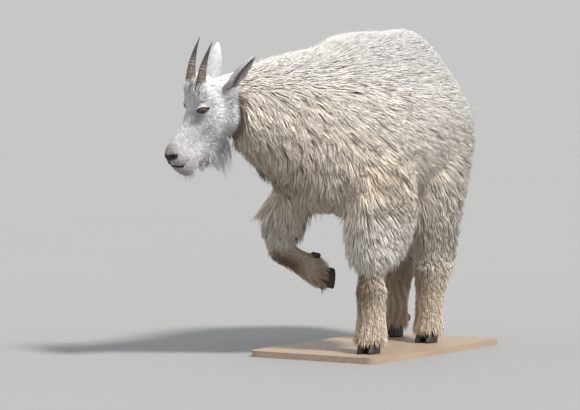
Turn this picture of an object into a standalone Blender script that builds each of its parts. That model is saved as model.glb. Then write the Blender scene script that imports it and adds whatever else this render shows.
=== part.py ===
# A life-size mountain goat in mid step, on a plain board.
# It faces -Y, its left side is +X, and its right foreleg is raised.
# Every size is in metres and reaches out to the tips of the coat.
import math

import bmesh
import bpy
from mathutils import Matrix, Vector

object_name = "mountain_goat"
gap = 0.0003  # left between neighbouring solids
voxel = 0.006  # grain of the fused body
body_triangles = 3750
ring_points = 24
ring_steps = 4  # rings from one key section to the next

board_size = (0.42, 0.70)
board_thickness = 0.018
board_corner = 0.03
board_place = Vector((0.0, 0.04, 0.0))  # under the feet, in the goat's frame
goat_offset = Vector((0.035, 0.095, board_thickness))  # puts the box's centre at the origin

head_turn = math.radians(40)  # to the goat's right
head_pitch = math.radians(49.6)  # nose down
head_roll = math.radians(16)  # left side down
poll = Vector((-0.150, -0.513, 0.767))

horn_base = Vector((0.029, -0.073, 0.050))  # in the head's frame, left side
horn_reach = Vector((0.008, 0.112, 0.068))
horn_bow = Vector((0.0, -0.0083, 0.0055))  # how far the middle bows out
horn_radius = 0.0155
horn_taper = 1.15
horn_sections = 10
horn_ring_at = 0.5  # share of the length
horn_ring_swell = 0.0011
horn_ring_spread = 0.05

ear_width = 0.0245
ear_centring = 0.7  # share of the curl that the middle of a section gives way to
ear_thickness = 0.0065

eye_place = Vector((0.0430, -0.1146, 0.0135))
eye_radius = 0.0165

claw_length = 0.060
claw_width = 0.029
claw_height = 0.030
claw_spread = 0.0165
dewclaw_radius = 0.009

coat_colour = (0.80, 0.74, 0.64)
horn_colour = (0.10, 0.085, 0.07)
eye_colour = (0.35, 0.22, 0.08)
hoof_colour = (0.03, 0.028, 0.026)
board_colour = (0.55, 0.53, 0.50)

# Key sections of the trunk: y, top, bottom, half width, how much narrower the top is.
trunk_keys = [
    (-0.385, 0.670, 0.510, 0.055, 0.05),
    (-0.350, 0.768, 0.435, 0.110, 0.10),
    (-0.280, 0.846, 0.394, 0.152, 0.15),
    (-0.190, 0.880, 0.380, 0.178, 0.18),
    (-0.080, 0.894, 0.378, 0.190, 0.16),
    (0.060, 0.899, 0.396, 0.196, 0.12),
    (0.160, 0.903, 0.415, 0.193, 0.12),
    (0.250, 0.862, 0.430, 0.180, 0.12),
    (0.330, 0.782, 0.450, 0.155, 0.12),
    (0.385, 0.715, 0.480, 0.120, 0.08),
    (0.422, 0.650, 0.530, 0.070, 0.0),
]

# Key sections of the neck: x, y, top, bottom, half width, share of the head's turn.
neck_keys = [
    (0.000, -0.200, 0.862, 0.420, 0.160, 0.0),
    (-0.030, -0.290, 0.850, 0.425, 0.150, 0.3),
    (-0.066, -0.360, 0.835, 0.460, 0.128, 0.6),
    (-0.100, -0.425, 0.818, 0.515, 0.106, 0.9),
    (-0.126, -0.472, 0.806, 0.560, 0.092, 1.0),
    (-0.150, -0.515, 0.780, 0.610, 0.070, 1.0),
]

# Key sections of the head, in its own frame with the poll at the origin and the nose at -Y:
# forward and height of the upper line, then of the lower line, half width, narrowing of the top.
head_keys = [
    (-0.045, -0.020, -0.035, -0.095, 0.040, 0.0),
    (-0.020, 0.006, 0.000, -0.126, 0.055, 0.0),
    (0.020, 0.030, 0.038, -0.142, 0.062, -0.06),
    (0.060, 0.052, 0.080, -0.146, 0.064, -0.12),
    (0.096, 0.055, 0.118, -0.141, 0.063, -0.14),
    (0.124, 0.036, 0.144, -0.131, 0.057, -0.10),
    (0.152, 0.021, 0.172, -0.121, 0.047, 0.02),
    (0.184, 0.0150, 0.202, -0.120, 0.040, 0.10),
    (0.216, 0.0100, 0.236, -0.113, 0.036, 0.14),
    (0.245, 0.0065, 0.262, -0.109, 0.036, 0.12),
    (0.261, -0.001, 0.277, -0.098, 0.032, 0.08),
    (0.271, -0.018, 0.283, -0.072, 0.021, 0.0),
]

# Key sections of a standing leg, top to bottom: height, front, back, half width.
left_fore = {
    "x": (0.112, 0.120),
    "keys": [
        (0.620, -0.270, -0.060, 0.070),
        (0.500, -0.290, -0.005, 0.090),
        (0.420, -0.285, 0.000, 0.094),
        (0.350, -0.275, -0.020, 0.090),
        (0.300, -0.266, -0.060, 0.081),
        (0.258, -0.254, -0.105, 0.067),
        (0.222, -0.238, -0.138, 0.050),
        (0.185, -0.230, -0.143, 0.043),
        (0.110, -0.226, -0.142, 0.041),
        (0.065, -0.235, -0.138, 0.044),
        (0.025, -0.247, -0.142, 0.047),
        (0.001, -0.245, -0.150, 0.045),
    ],
}
left_hind = {
    "x": (0.095, 0.090),
    "keys": [
        (0.680, 0.080, 0.340, 0.085),
        (0.560, 0.050, 0.352, 0.092),
        (0.460, 0.060, 0.330, 0.086),
        (0.380, 0.075, 0.312, 0.077),
        (0.310, 0.100, 0.302, 0.066),
        (0.260, 0.118, 0.285, 0.056),
        (0.210, 0.130, 0.266, 0.050),
        (0.160, 0.136, 0.240, 0.044),
        (0.100, 0.136, 0.220, 0.041),
        (0.060, 0.132, 0.222, 0.042),
        (0.025, 0.120, 0.220, 0.045),
        (0.001, 0.122, 0.214, 0.043),
    ],
}
right_hind = {
    "x": (-0.095, -0.090),
    "keys": [
        (0.680, 0.080, 0.340, 0.085),
        (0.560, 0.060, 0.362, 0.092),
        (0.460, 0.080, 0.362, 0.086),
        (0.380, 0.115, 0.370, 0.077),
        (0.310, 0.165, 0.385, 0.066),
        (0.260, 0.205, 0.385, 0.056),
        (0.210, 0.230, 0.375, 0.050),
        (0.160, 0.240, 0.350, 0.044),
        (0.100, 0.242, 0.328, 0.041),
        (0.060, 0.238, 0.328, 0.042),
        (0.025, 0.226, 0.326, 0.045),
        (0.001, 0.228, 0.320, 0.043),
    ],
}

# The raised leg: place of each key section, half width across the leg, half depth.
raised_upper_keys = [
    (-0.095, -0.180, 0.600, 0.062, 0.095),
    (-0.105, -0.200, 0.500, 0.074, 0.098),
    (-0.118, -0.240, 0.410, 0.066, 0.085),
    (-0.132, -0.270, 0.342, 0.053, 0.064),
    (-0.136, -0.279, 0.294, 0.038, 0.041),
    (-0.136, -0.279, 0.272, 0.022, 0.024),
]
raised_lower_keys = [
    (-0.146, -0.293, 0.297, 0.022, 0.020),
    (-0.134, -0.280, 0.286, 0.035, 0.033),
    (-0.098, -0.236, 0.254, 0.034, 0.035),
    (-0.063, -0.192, 0.224, 0.037, 0.040),
    (-0.046, -0.170, 0.208, 0.035, 0.037),
    (-0.036, -0.156, 0.200, 0.033, 0.033),
]
raised_sole = Vector((-0.032, -0.150, 0.200))
raised_tip_down = math.radians(88)
raised_turn = math.radians(-39)

# Where each standing foot is, and its turn.
standing_feet = {
    "leg_front_left": (0.120, -0.205, 0.10),
    "leg_hind_left": (0.090, 0.160, 0.08),
    "leg_hind_right": (-0.090, 0.266, -0.08),
}

# Each leg's room for parting: side, then inner wall, front, back and height of the roof at
# the middle plane.
room_slope = 0.55
leg_rooms = {
    "leg_front_left": (1, (0.014, -0.34, 0.035, 0.355)),
    "leg_front_right": (-1, (-0.012, -0.42, 0.035, 0.355)),
    "leg_hind_left": (1, (0.002, 0.045, 0.47, 0.405)),
    "leg_hind_right": (-1, (0.002, 0.045, 0.47, 0.405)),
}
# Where each lower leg, the head and the neck are parted off: a point, and the way out.
joints = {
    "leg_front_left": ((0.12, -0.19, 0.200), (0, 0, -1)),
    "leg_front_right": ((-0.138, -0.285, 0.285), (0.267, 0.190, -0.945)),
    "leg_hind_left": ((0.09, 0.20, 0.235), (0, 0, -1)),
    "leg_hind_right": ((-0.09, 0.30, 0.235), (0, 0, -1)),
}
head_cut = ((-0.124, -0.470, 0.690), (-0.58, -0.81, 0.0))
neck_cut = ((-0.030, -0.300, 0.660), (-0.15, -0.89, 0.43))
neck_narrowing = 0.12

# Key sections of the tail: place, half width, half depth.
tail_keys = [
    (0.0, 0.345, 0.725, 0.026, 0.022),
    (0.0, 0.392, 0.712, 0.031, 0.024),
    (0.0, 0.424, 0.676, 0.032, 0.023),
    (0.0, 0.436, 0.628, 0.024, 0.017),
    (0.0, 0.438, 0.590, 0.008, 0.007),
]
# Key sections of the beard, in the head's frame: place, half width, half depth.
beard_keys = [
    (0.0, -0.160, -0.105, 0.032, 0.056),
    (0.0, -0.174, -0.135, 0.026, 0.046),
    (0.0, -0.180, -0.160, 0.015, 0.028),
    (0.0, -0.186, -0.180, 0.005, 0.008),
]

# Along an ear: place, width and thickness as shares of the largest, and how much the section
# curls into a cup.
ear_keys = [
    (-0.10, 0.84, 1.80, 8.0),
    (0.20, 0.96, 1.40, 18.0),
    (0.45, 1.00, 1.00, 32.0),
    (0.70, 0.79, 0.75, 40.0),
    (0.90, 0.42, 0.50, 52.0),
    (1.00, 0.10, 0.30, 50.0),
]
# The root, from root to tip, and the way the cup opens, all as for a left ear. Each ear turns
# by itself.
ear_ways = {
    "left": (
        Vector((0.052, -0.030, -0.004)),
        Vector((0.0594, 0.1125, 0.0322)),
        Vector((0.76, -0.23, -0.60)),
    ),
    "right": (
        Vector((0.0502, -0.0250, -0.0053)),
        Vector((0.064, 0.106, 0.030)),
        Vector((0.905, -0.379, -0.189)),
    ),
}

# One claw from the sole up: height, length and width as shares, shift to the back.
claw_keys = [
    (0.000, 0.94, 0.92, 0.000),
    (0.004, 1.00, 1.00, 0.000),
    (0.016, 0.94, 0.98, 0.003),
    (claw_height, 0.80, 0.88, 0.008),
]
dewclaw_place = (0.016, 0.064, 0.052)


def clear_scene():
    for item in list(bpy.data.objects):
        bpy.data.objects.remove(item, do_unlink=True)


def new_collection(name):
    found = bpy.data.collections.get(name)
    if found is None:
        found = bpy.data.collections.new(name)
        bpy.context.scene.collection.children.link(found)
    return found


def material(name, colour, roughness, metallic=0.0):
    made = bpy.data.materials.new(name)
    made.use_nodes = True
    shader = made.node_tree.nodes["Principled BSDF"]
    shader.inputs["Base Color"].default_value = (*colour, 1.0)
    shader.inputs["Roughness"].default_value = roughness
    shader.inputs["Metallic"].default_value = metallic
    return made


def between(before, start, end, after, t):
    # Catmull-Rom, so that the shape runs smoothly through every key.
    return 0.5 * (
        2 * start
        + (end - before) * t
        + (2 * before - 5 * start + 4 * end - after) * t * t
        + (3 * start - before - 3 * end + after) * t * t * t
    )


def smooth_keys(keys, steps=ring_steps):
    last = len(keys) - 1
    rows = []
    for i in range(last):
        four = (keys[max(i - 1, 0)], keys[i], keys[i + 1], keys[min(i + 2, last)])
        for step in range(steps):
            rows.append([between(*values, step / steps) for values in zip(*four)])
    rows.append(list(keys[-1]))
    return rows


def add_loft(bm, rings, points=ring_points):
    # Each ring is its centre, its half width and half depth as vectors, the narrowing of the
    # side that the depth vector points to, and how much the section curls into a crescent.
    loops = []
    for centre, side, depth, narrowing, bend in rings:
        made = bmesh.ops.create_circle(bm, segments=points, radius=1.0)["verts"]
        for vert in made:
            across, along, _ = vert.co
            reach = side * across * (1.0 - narrowing * along)
            curl = bend * reach.length_squared
            vert.co = centre + reach + depth * along + depth.normalized() * curl
        loops.append({edge for vert in made for edge in vert.link_edges})
    for one, two in zip(loops, loops[1:]):
        bmesh.ops.bridge_loops(bm, edges=list(one | two))
    ends = [edge for edge in bm.edges if len(edge.link_faces) == 1]
    bmesh.ops.holes_fill(bm, edges=ends, sides=0)


def deepened(rings, grow):
    # A pocket is also deeper than what sits in it.
    (first, *sizes), second = rings[0], rings[1][0]
    return [(first + (first - second).normalized() * grow, *sizes)] + rings[1:]


def upright_rings(rows):
    # Sections of a standing leg.
    rings = []
    for x, height, front, back, width in rows:
        centre = Vector((x, (front + back) / 2, height))
        rings.append((centre, Vector((width, 0, 0)), Vector((0, (back - front) / 2, 0)), 0.0, 0.0))
    return rings


def path_rings(rows, side, grow=0.0):
    # Sections square to a bent path. The side vector is the same all along.
    centres = [Vector(row[:3]) for row in rows]
    rings = []
    for i, row in enumerate(rows):
        ahead = centres[min(i + 1, len(rows) - 1)] - centres[max(i - 1, 0)]
        depth = ahead.cross(side).normalized()
        across = depth.cross(ahead).normalized()
        rings.append((centres[i], across * (row[3] + grow), depth * (row[4] + grow), 0.0, 0.0))
    return rings


def turned_side(share):
    angle = head_turn * share
    return Vector((math.cos(angle), -math.sin(angle), 0))


def head_frame():
    turn = Matrix.Rotation(-head_turn, 4, "Z")
    pitch = Matrix.Rotation(head_pitch, 4, "X")
    roll = Matrix.Rotation(head_roll, 4, "Y")
    return Matrix.Translation(poll) @ turn @ pitch @ roll


def add_trunk(bm):
    rings = []
    for y, top, bottom, width, narrowing in smooth_keys(trunk_keys):
        centre = Vector((0, y, (top + bottom) / 2))
        rings.append((centre, Vector((width, 0, 0)), Vector((0, 0, (top - bottom) / 2)), narrowing, 0.0))
    add_loft(bm, rings)


def add_neck(bm):
    rings = []
    for x, y, top, bottom, width, share in smooth_keys(neck_keys):
        centre = Vector((x, y, (top + bottom) / 2))
        depth = Vector((0, 0, (top - bottom) / 2))
        rings.append((centre, turned_side(share) * width, depth, neck_narrowing, 0.0))
    add_loft(bm, rings)


def add_head(bm):
    frame = head_frame()
    turned = frame.to_3x3()
    rings = []
    for ahead, top, low_ahead, bottom, width, narrowing in smooth_keys(head_keys):
        upper = Vector((0, -ahead, top))
        lower = Vector((0, -low_ahead, bottom))
        side = turned @ Vector((width, 0, 0))
        depth = turned @ ((upper - lower) / 2)
        rings.append((frame @ ((upper + lower) / 2), side, depth, narrowing, 0.0))
    add_loft(bm, rings)
    beard = path_rings(smooth_keys(beard_keys), Vector((1, 0, 0)))
    placed = [(frame @ centre, turned @ side, turned @ depth, *rest)
              for centre, side, depth, *rest in beard]
    add_loft(bm, placed)


def add_standing_leg(bm, leg):
    high, low = leg["keys"][0][0], leg["keys"][-1][0]
    inner, outer = leg["x"]
    rows = []
    for height, front, back, width in smooth_keys(leg["keys"]):
        x = outer + (inner - outer) * (height - low) / (high - low)
        rows.append((x, height, front, back, width))
    add_loft(bm, upright_rings(rows))


def add_raised_leg(bm):
    add_loft(bm, path_rings(smooth_keys(raised_upper_keys), Vector((1, 0, 0))))
    add_loft(bm, path_rings(smooth_keys(raised_lower_keys), turned_side(1.2)))


def mesh_object(name, bm, group):
    bmesh.ops.recalc_face_normals(bm, faces=bm.faces)
    mesh = bpy.data.meshes.new(name)
    bm.to_mesh(mesh)
    bm.free()
    made = bpy.data.objects.new(name, mesh)
    group.objects.link(made)
    return made


def evaluated(item):
    # The mesh as its modifiers leave it.
    graph = bpy.context.evaluated_depsgraph_get()
    mesh = bpy.data.meshes.new_from_object(item.evaluated_get(graph))
    item.modifiers.clear()
    old = item.data
    item.data = mesh
    bpy.data.meshes.remove(old)
    return item


def fused_body(group):
    bm = bmesh.new()
    add_trunk(bm)
    add_neck(bm)
    add_head(bm)
    add_standing_leg(bm, left_fore)
    add_standing_leg(bm, left_hind)
    add_standing_leg(bm, right_hind)
    add_raised_leg(bm)
    body = mesh_object("body", bm, group)
    remesh = body.modifiers.new("fuse", "REMESH")
    remesh.mode = "VOXEL"
    remesh.voxel_size = voxel
    soften = body.modifiers.new("soften", "SMOOTH")
    soften.factor = 0.5
    soften.iterations = 6
    evaluated(body)
    thin = body.modifiers.new("thin", "DECIMATE")
    thin.ratio = body_triangles / (2 * len(body.data.polygons))
    return evaluated(body)


def as_cutter(item):
    item.hide_render = True
    item.display_type = "WIRE"
    return item


def half_space(name, centre, normal, group):
    # A large box beyond the plane through the centre, on the side the normal points to.
    bm = bmesh.new()
    bmesh.ops.create_cube(bm, size=1.0)
    turn = Vector(normal).to_track_quat("Z", "Y").to_matrix().to_4x4()
    lift = Matrix.Translation((0, 0, 0.5))
    bmesh.ops.transform(bm, matrix=Matrix.Translation(centre) @ turn @ lift, verts=bm.verts)
    return as_cutter(mesh_object(name, bm, group))


def leg_room(name, side, sizes, grow, group):
    # The room of one leg: upright walls, and a roof that rises to the outside.
    inner, front, back, roof = sizes
    bm = bmesh.new()
    for vert in bmesh.ops.create_cube(bm, size=1.0)["verts"]:
        x = 0.45 if vert.co.x > 0 else inner - grow
        y = back + grow if vert.co.y > 0 else front - grow
        z = roof + room_slope * x + grow * 1.2 if vert.co.z > 0 else -0.1
        vert.co = Vector((x * side, y, z))
    return as_cutter(mesh_object(name, bm, group))


def boolean(item, cutter, operation="DIFFERENCE"):
    step = item.modifiers.new(operation, "BOOLEAN")
    step.operation = operation
    step.solver = "EXACT"
    step.object = cutter
    return evaluated(item)


def part_off(body, name, inner, outer):
    # The piece inside the inner cutter gets its own object. The body loses the outer one,
    # which is larger by the gap.
    piece = bpy.data.objects.new(name, body.data.copy())
    body.users_collection[0].objects.link(piece)
    boolean(piece, inner, "INTERSECT")
    boolean(body, outer)
    return piece


def part_beyond(body, name, centre, normal, cutters):
    centre, normal = Vector(centre), Vector(normal).normalized()
    inner = half_space("cut_" + name, centre, normal, cutters)
    outer = half_space("gap_" + name, centre - normal * gap, normal, cutters)
    return part_off(body, name, inner, outer)


def horn_mesh(bm, side, grow):
    # A quadratic curve from the base to the tip, thinning, with one double ring.
    frame = head_frame()
    turned = frame.to_3x3()
    mirror = Vector((side, 1, 1))
    start, reach = horn_base * mirror, horn_reach * mirror
    rings = []
    for i in range(-1, horn_sections + 1):
        t = i / horn_sections
        centre = start + reach * t + horn_bow * (4 * t * (1 - t))
        ahead = reach + horn_bow * (4 - 8 * t)
        across = ahead.cross(Vector((1, 0, 0))).normalized()
        radius = horn_radius * (1 - 0.95 * max(t, 0) ** horn_taper) + grow
        radius += horn_ring_swell * math.exp(-(((t - horn_ring_at) / horn_ring_spread) ** 2))
        beside = across.cross(ahead).normalized()
        rings.append((frame @ centre, turned @ beside * radius, turned @ across * radius, 0.0, 0.0))
    add_loft(bm, deepened(rings, grow), points=12)


def ear_mesh(bm, side, grow):
    frame = head_frame()
    turned = frame.to_3x3()
    mirror = Vector((side, 1, 1))
    base, reach, opening = [way * mirror for way in ear_ways["left" if side > 0 else "right"]]
    axis = reach.normalized()
    opening = (opening - axis * opening.dot(axis)).normalized()
    beside = axis.cross(opening).normalized()
    rings = []
    for t, wide, thick, cup in smooth_keys(ear_keys, 2):
        middle = base + reach * t - opening * (ear_centring * cup * (ear_width * wide) ** 2)
        centre = frame @ middle
        width = turned @ beside * (ear_width * wide + grow)
        depth = turned @ opening * (ear_thickness * thick + grow)
        rings.append((centre, width, depth, 0.0, cup))
    add_loft(bm, deepened(rings, grow), points=14)
    # The ear and its pocket fold along the same diagonals.
    bmesh.ops.triangulate(bm, faces=bm.faces, quad_method="FIXED")


def ball_mesh(bm, centre, sizes, grow, frame, segments):
    stretch = Matrix.Diagonal((*[size + grow for size in sizes], 1.0))
    where = frame @ Matrix.Translation(centre) @ stretch
    bmesh.ops.create_uvsphere(bm, u_segments=segments, v_segments=segments // 2 + 1, radius=1.0, matrix=where)


def eye_mesh(bm, side, grow):
    ball_mesh(bm, eye_place * Vector((side, 1, 1)), (eye_radius,) * 3, grow, head_frame(), 12)


def tail_mesh(bm, side, grow):
    rings = path_rings(smooth_keys(tail_keys, 2), Vector((1, 0, 0)), grow)
    add_loft(bm, deepened(rings, grow), points=12)


def claw_mesh(bm, side, grow, frame):
    # One half of a hoof: flat sole, toe to the front, the wall leaning in to the top.
    rings = []
    for height, length, width, shift in claw_keys:
        centre = Vector((side * claw_spread, shift, height))
        beside = frame.to_3x3() @ Vector((claw_width / 2 * width + grow, 0, 0))
        along = frame.to_3x3() @ Vector((0, -claw_length / 2 * length - grow, 0))
        rings.append((frame @ centre, beside, along, 0.3, 0.0))
    add_loft(bm, rings, points=12)


def dewclaw_mesh(bm, side, grow, frame):
    sizes = (dewclaw_radius * 0.8, dewclaw_radius, dewclaw_radius * 1.3)
    ball_mesh(bm, Vector((side * dewclaw_place[0], *dewclaw_place[1:])), sizes, grow, frame, 7)


def seated(host, name, shape, side, look, parts, cutters, *more):
    # Adds a piece that sits in a pocket of its host, larger by the gap.
    bm = bmesh.new()
    shape(bm, side, 0.0, *more)
    piece = mesh_object(name, bm, parts)
    piece.data.materials.append(look)
    bm = bmesh.new()
    shape(bm, side, 2 * gap, *more)
    pocket = as_cutter(mesh_object("pocket_" + name, bm, cutters))
    boolean(host, pocket)
    return piece


def foot_frame(x, y, turn):
    return Matrix.Translation((x, y, 0)) @ Matrix.Rotation(turn, 4, "Z")


def raised_foot_frame():
    turn = Matrix.Rotation(raised_turn, 4, "Z")
    return Matrix.Translation(raised_sole) @ turn @ Matrix.Rotation(raised_tip_down, 4, "X")


def add_foot(leg, name, frame, looks, parts, cutters):
    # The leg ends above the claws, square to their frame.
    up = frame.to_3x3() @ Vector((0, 0, 1))
    top = frame @ Vector((0, 0, claw_height + gap))
    boolean(leg, half_space("sole_" + name, top, -up, cutters))
    for word, side in (("left", 1), ("right", -1)):
        bm = bmesh.new()
        claw_mesh(bm, side, 0.0, frame)
        claw = mesh_object("claw_" + name + "_" + word, bm, parts)
        claw.data.materials.append(looks)
        seated(leg, "dewclaw_" + name + "_" + word, dewclaw_mesh, side, looks,
                 parts, cutters, frame)


def add_board(parts, look):
    bm = bmesh.new()
    bmesh.ops.create_cube(bm, size=1.0)
    width, length = board_size
    bmesh.ops.scale(bm, vec=(width, length, board_thickness - gap), verts=bm.verts)
    upright = [edge for edge in bm.edges if abs(edge.verts[0].co.z - edge.verts[1].co.z) > 0.001]
    bmesh.ops.bevel(bm, geom=upright, offset=board_corner, segments=6, profile=0.5,
                     affect="EDGES")
    board = mesh_object("stand_board", bm, parts)
    board.location = board_place + goat_offset
    board.location.z = (board_thickness - gap) / 2
    board.data.materials.append(look)
    return board


clear_scene()
parts = new_collection(object_name)
cutters = new_collection("cutters")
coat = material("coat", coat_colour, 0.9)
horn_look = material("horn", horn_colour, 0.45)
eye_look = material("eye", eye_colour, 0.08)
hoof_look = material("hoof", hoof_colour, 0.5)
board_look = material("board", board_colour, 0.6)

body = fused_body(parts)
body.name = "trunk"
body.data.materials.append(coat)

feet = {leg_name: foot_frame(*place) for leg_name, place in standing_feet.items()}
feet["leg_front_right"] = raised_foot_frame()
legs = {}
for leg_name, (side, sizes) in leg_rooms.items():
    inner = leg_room("room_" + leg_name, side, sizes, 0.0, cutters)
    outer = leg_room("gap_" + leg_name, side, sizes, gap, cutters)
    upper = part_off(body, leg_name + "_upper", inner, outer)
    centre, normal = joints[leg_name]
    legs[leg_name] = part_beyond(upper, leg_name + "_lower", centre, normal, cutters)
head = part_beyond(body, "head", head_cut[0], head_cut[1], cutters)
neck = part_beyond(body, "neck", neck_cut[0], neck_cut[1], cutters)

seated(body, "tail", tail_mesh, 1, coat, parts, cutters)
for word, side in (("left", 1), ("right", -1)):
    seated(head, "horn_" + word, horn_mesh, side, horn_look, parts, cutters)
    seated(head, "ear_" + word, ear_mesh, side, coat, parts, cutters)
    seated(head, "eye_" + word, eye_mesh, side, eye_look, parts, cutters)
for leg_name, frame in feet.items():
    add_foot(legs[leg_name], leg_name[4:], frame, hoof_look, parts, cutters)

# The goat stands on the board.
root = bpy.data.objects.new(object_name, None)
parts.objects.link(root)
root.location = goat_offset
for item in list(parts.objects) + list(cutters.objects):
    if item is not root:
        item.parent = root
add_board(parts, board_look)
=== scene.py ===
import math

import bmesh
import bpy
import numpy as np
from mathutils import Matrix, Vector
from mathutils.kdtree import KDTree


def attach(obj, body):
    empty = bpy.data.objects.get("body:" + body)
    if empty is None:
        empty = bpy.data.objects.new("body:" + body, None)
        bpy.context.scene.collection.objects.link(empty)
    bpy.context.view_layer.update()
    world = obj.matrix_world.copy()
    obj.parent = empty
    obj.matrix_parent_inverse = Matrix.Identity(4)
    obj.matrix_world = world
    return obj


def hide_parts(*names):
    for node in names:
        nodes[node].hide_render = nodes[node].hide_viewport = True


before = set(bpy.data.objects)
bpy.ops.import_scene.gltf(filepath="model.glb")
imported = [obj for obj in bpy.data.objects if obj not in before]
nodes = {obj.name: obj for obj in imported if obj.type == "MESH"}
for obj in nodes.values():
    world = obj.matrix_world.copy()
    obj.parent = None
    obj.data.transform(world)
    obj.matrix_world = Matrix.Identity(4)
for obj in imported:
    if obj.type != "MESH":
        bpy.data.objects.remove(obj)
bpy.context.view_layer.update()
goatAt = Vector((0.035, 0.095, 0.018))  # the middle of the goat at the level of its feet
print("frame loaded,", len(nodes), "nodes")

headPose = {
    "poll": Vector((-0.15, -0.513, 0.767)),  # back of the crown, from goatAt
    "turn": math.radians(40),  # to the goat's right
    "pitch": math.radians(49.6),
    "roll": math.radians(16),
}
# from the head's own frame: left +X, nose -Y, crown +Z
headToWorld = Matrix.Translation(goatAt + headPose["poll"])
for angle, axis in ((-headPose["turn"], "Z"), (headPose["pitch"], "X"), (headPose["roll"], "Y")):
    headToWorld = headToWorld @ Matrix.Rotation(angle, 4, axis)
headTurn = np.array(headToWorld.to_3x3())
headPlace = np.array(headToWorld.translation)


def inHead(points):
    # columns: left, forward to the nose, up to the crown
    return ((points - headPlace) @ headTurn) * (1, -1, 1)


def turnedOut(local):
    return (local * (1, -1, 1)) @ headTurn.T


def outOfHead(local):
    return turnedOut(local) + headPlace


def inGoat(points):
    return points - np.array(goatAt)


def ramp(low, high, x):
    t = np.clip((x - low) / (high - low), 0, 1)
    return t * t * (3 - 2 * t)


def fall(low, high, x):
    return 1 - ramp(low, high, x)


def bell(x):
    return np.exp(-(x**2))


def blob(points, centre, radii):
    # 1 at the centre, falling off smoothly past the radii
    away = (points - np.array(centre)) / np.array(radii)
    return np.exp(-(away**2).sum(1))


def toward(values, other, share):
    return values + (other - values) * share[:, None]


def columns(*values):
    return np.stack(np.broadcast_arrays(*values), 1)


def unit(vectors):
    return vectors / (np.linalg.norm(vectors, axis=-1, keepdims=True) + 1e-9)


def objectOf(name, mesh):
    made = bpy.data.objects.new(name, mesh)
    bpy.context.scene.collection.objects.link(made)
    return made


def opened(*meshes):
    bm = bmesh.new()
    for mesh in meshes:
        bm.from_mesh(mesh)
    return bm


def written(bm, mesh):
    # into a mesh, or into a new one of that name
    if isinstance(mesh, str):
        mesh = bpy.data.meshes.new(mesh)
    bm.to_mesh(mesh)
    bm.free()
    return mesh


def merged(bm):
    bmesh.ops.remove_doubles(bm, verts=bm.verts, dist=0.00001)


def grownMesh(item):
    return bpy.data.meshes.new_from_object(item.evaluated_get(bpy.context.evaluated_depsgraph_get()))


def settled(item, **modifiers):
    # the mesh as these modifiers leave it, and no modifiers
    for kind, settings in modifiers.items():
        added = item.modifiers.new(kind, kind.upper())
        for key, value in settings.items():
            setattr(added, key, value)
    old, item.data = item.data, grownMesh(item)
    item.modifiers.clear()
    bpy.data.meshes.remove(old)
    return item


def fused(item, voxel, rounds):
    return settled(item, remesh={"mode": "VOXEL", "voxel_size": voxel}, smooth={"iterations": rounds})


def valuesOf(items, key, width=1, kind=np.int32):
    found = np.empty(len(items) * width, kind)
    items.foreach_get(key, found)
    return found.reshape(-1, width) if width > 1 else found


def vectorsOf(mesh, key="co"):
    return valuesOf(mesh.vertices, key, 3, np.float32).astype(np.float64)


def edgesOf(mesh):
    return valuesOf(mesh.edges, "vertices", 2)


def setPlaces(mesh, places):
    mesh.vertices.foreach_set("co", places.astype(np.float32).ravel())
    mesh.update()


def spreadOut(values, edges, rounds):
    # averages each vertex with its neighbours
    both = np.concatenate([edges, edges[:, ::-1]])
    share = 1 / np.maximum(np.bincount(both[:, 0], minlength=len(values)), 1)
    for _ in range(rounds):
        sums = [np.bincount(both[:, 0], column[both[:, 1]], len(values)) for column in values.T]
        values = (values + np.stack(sums, 1) * share[:, None]) / 2
    return values


stored = set()  # the names of all the attributes


def store(mesh, name, values, domain="POINT"):
    # one number, vector or colour for each vertex, face or corner
    values = np.asarray(values)
    kind, key, number = {
        1: ("FLOAT", "value", np.float32), 3: ("FLOAT_VECTOR", "vector", np.float32),
        4: ("FLOAT_COLOR", "color", np.float32)}[values[0].size]
    if values.dtype.kind == "i":
        kind, number = "INT", np.int32
    made = mesh.attributes.new(name, kind, domain)
    made.data.foreach_set(key, np.ascontiguousarray(values, number).ravel())
    stored.add(name)


# one skin under the hair
skinShape = {
    "voxel": 0.0098,
    "seamFill": 0.0006,  # closes the thin cuts between the nodes
    "plugs": [  # fills the pockets of horns, ears and eyes: left, forward, up, radius
        (0.029, 0.073, 0.04, 0.022),
        (0.046, 0.034, -0.006, 0.026),
        (0.04, 0.1146, 0.012, 0.0175),
    ],
    "beardFloor": -0.118,  # below this the beard is all hair
}
coatDepth = {"trunk": 0.032, "neck": 0.03, "head": 0.005, "tail": 0.014}
for limb in ("front_left", "front_right", "hind_left", "hind_right"):
    coatDepth["leg_" + limb + "_upper"] = 0.026
    coatDepth["leg_" + limb + "_lower"] = 0.005
coatDepth["leg_front_right_upper"] = 0.02
fleshNames = list(coatDepth)


def nodeTree():
    # finds which flesh node a point lies nearest to
    places, owners = [], []
    for k, name in enumerate(fleshNames):
        mesh = nodes[name].data
        corners = vectorsOf(mesh)[np.array([list(p.vertices) for p in mesh.polygons])]
        spots = np.concatenate([corners.mean(1), corners[:, 0], (corners[:, 1] + corners[:, 2]) / 2])
        places.append(spots)
        owners += [k] * len(spots)
    places = np.concatenate(places)
    tree = KDTree(len(places))
    for i, place in enumerate(places):
        tree.insert(place, i)
    tree.balance()
    return tree, np.array(owners)


def nodeShares(mesh, rounds):
    # how much of each flesh node there is at each vertex, blended over the joins
    near = owners[[ownerTree.find(place)[1] for place in vectorsOf(mesh)]]
    return spreadOut(np.eye(len(fleshNames))[near], edgesOf(mesh), rounds)


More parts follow.
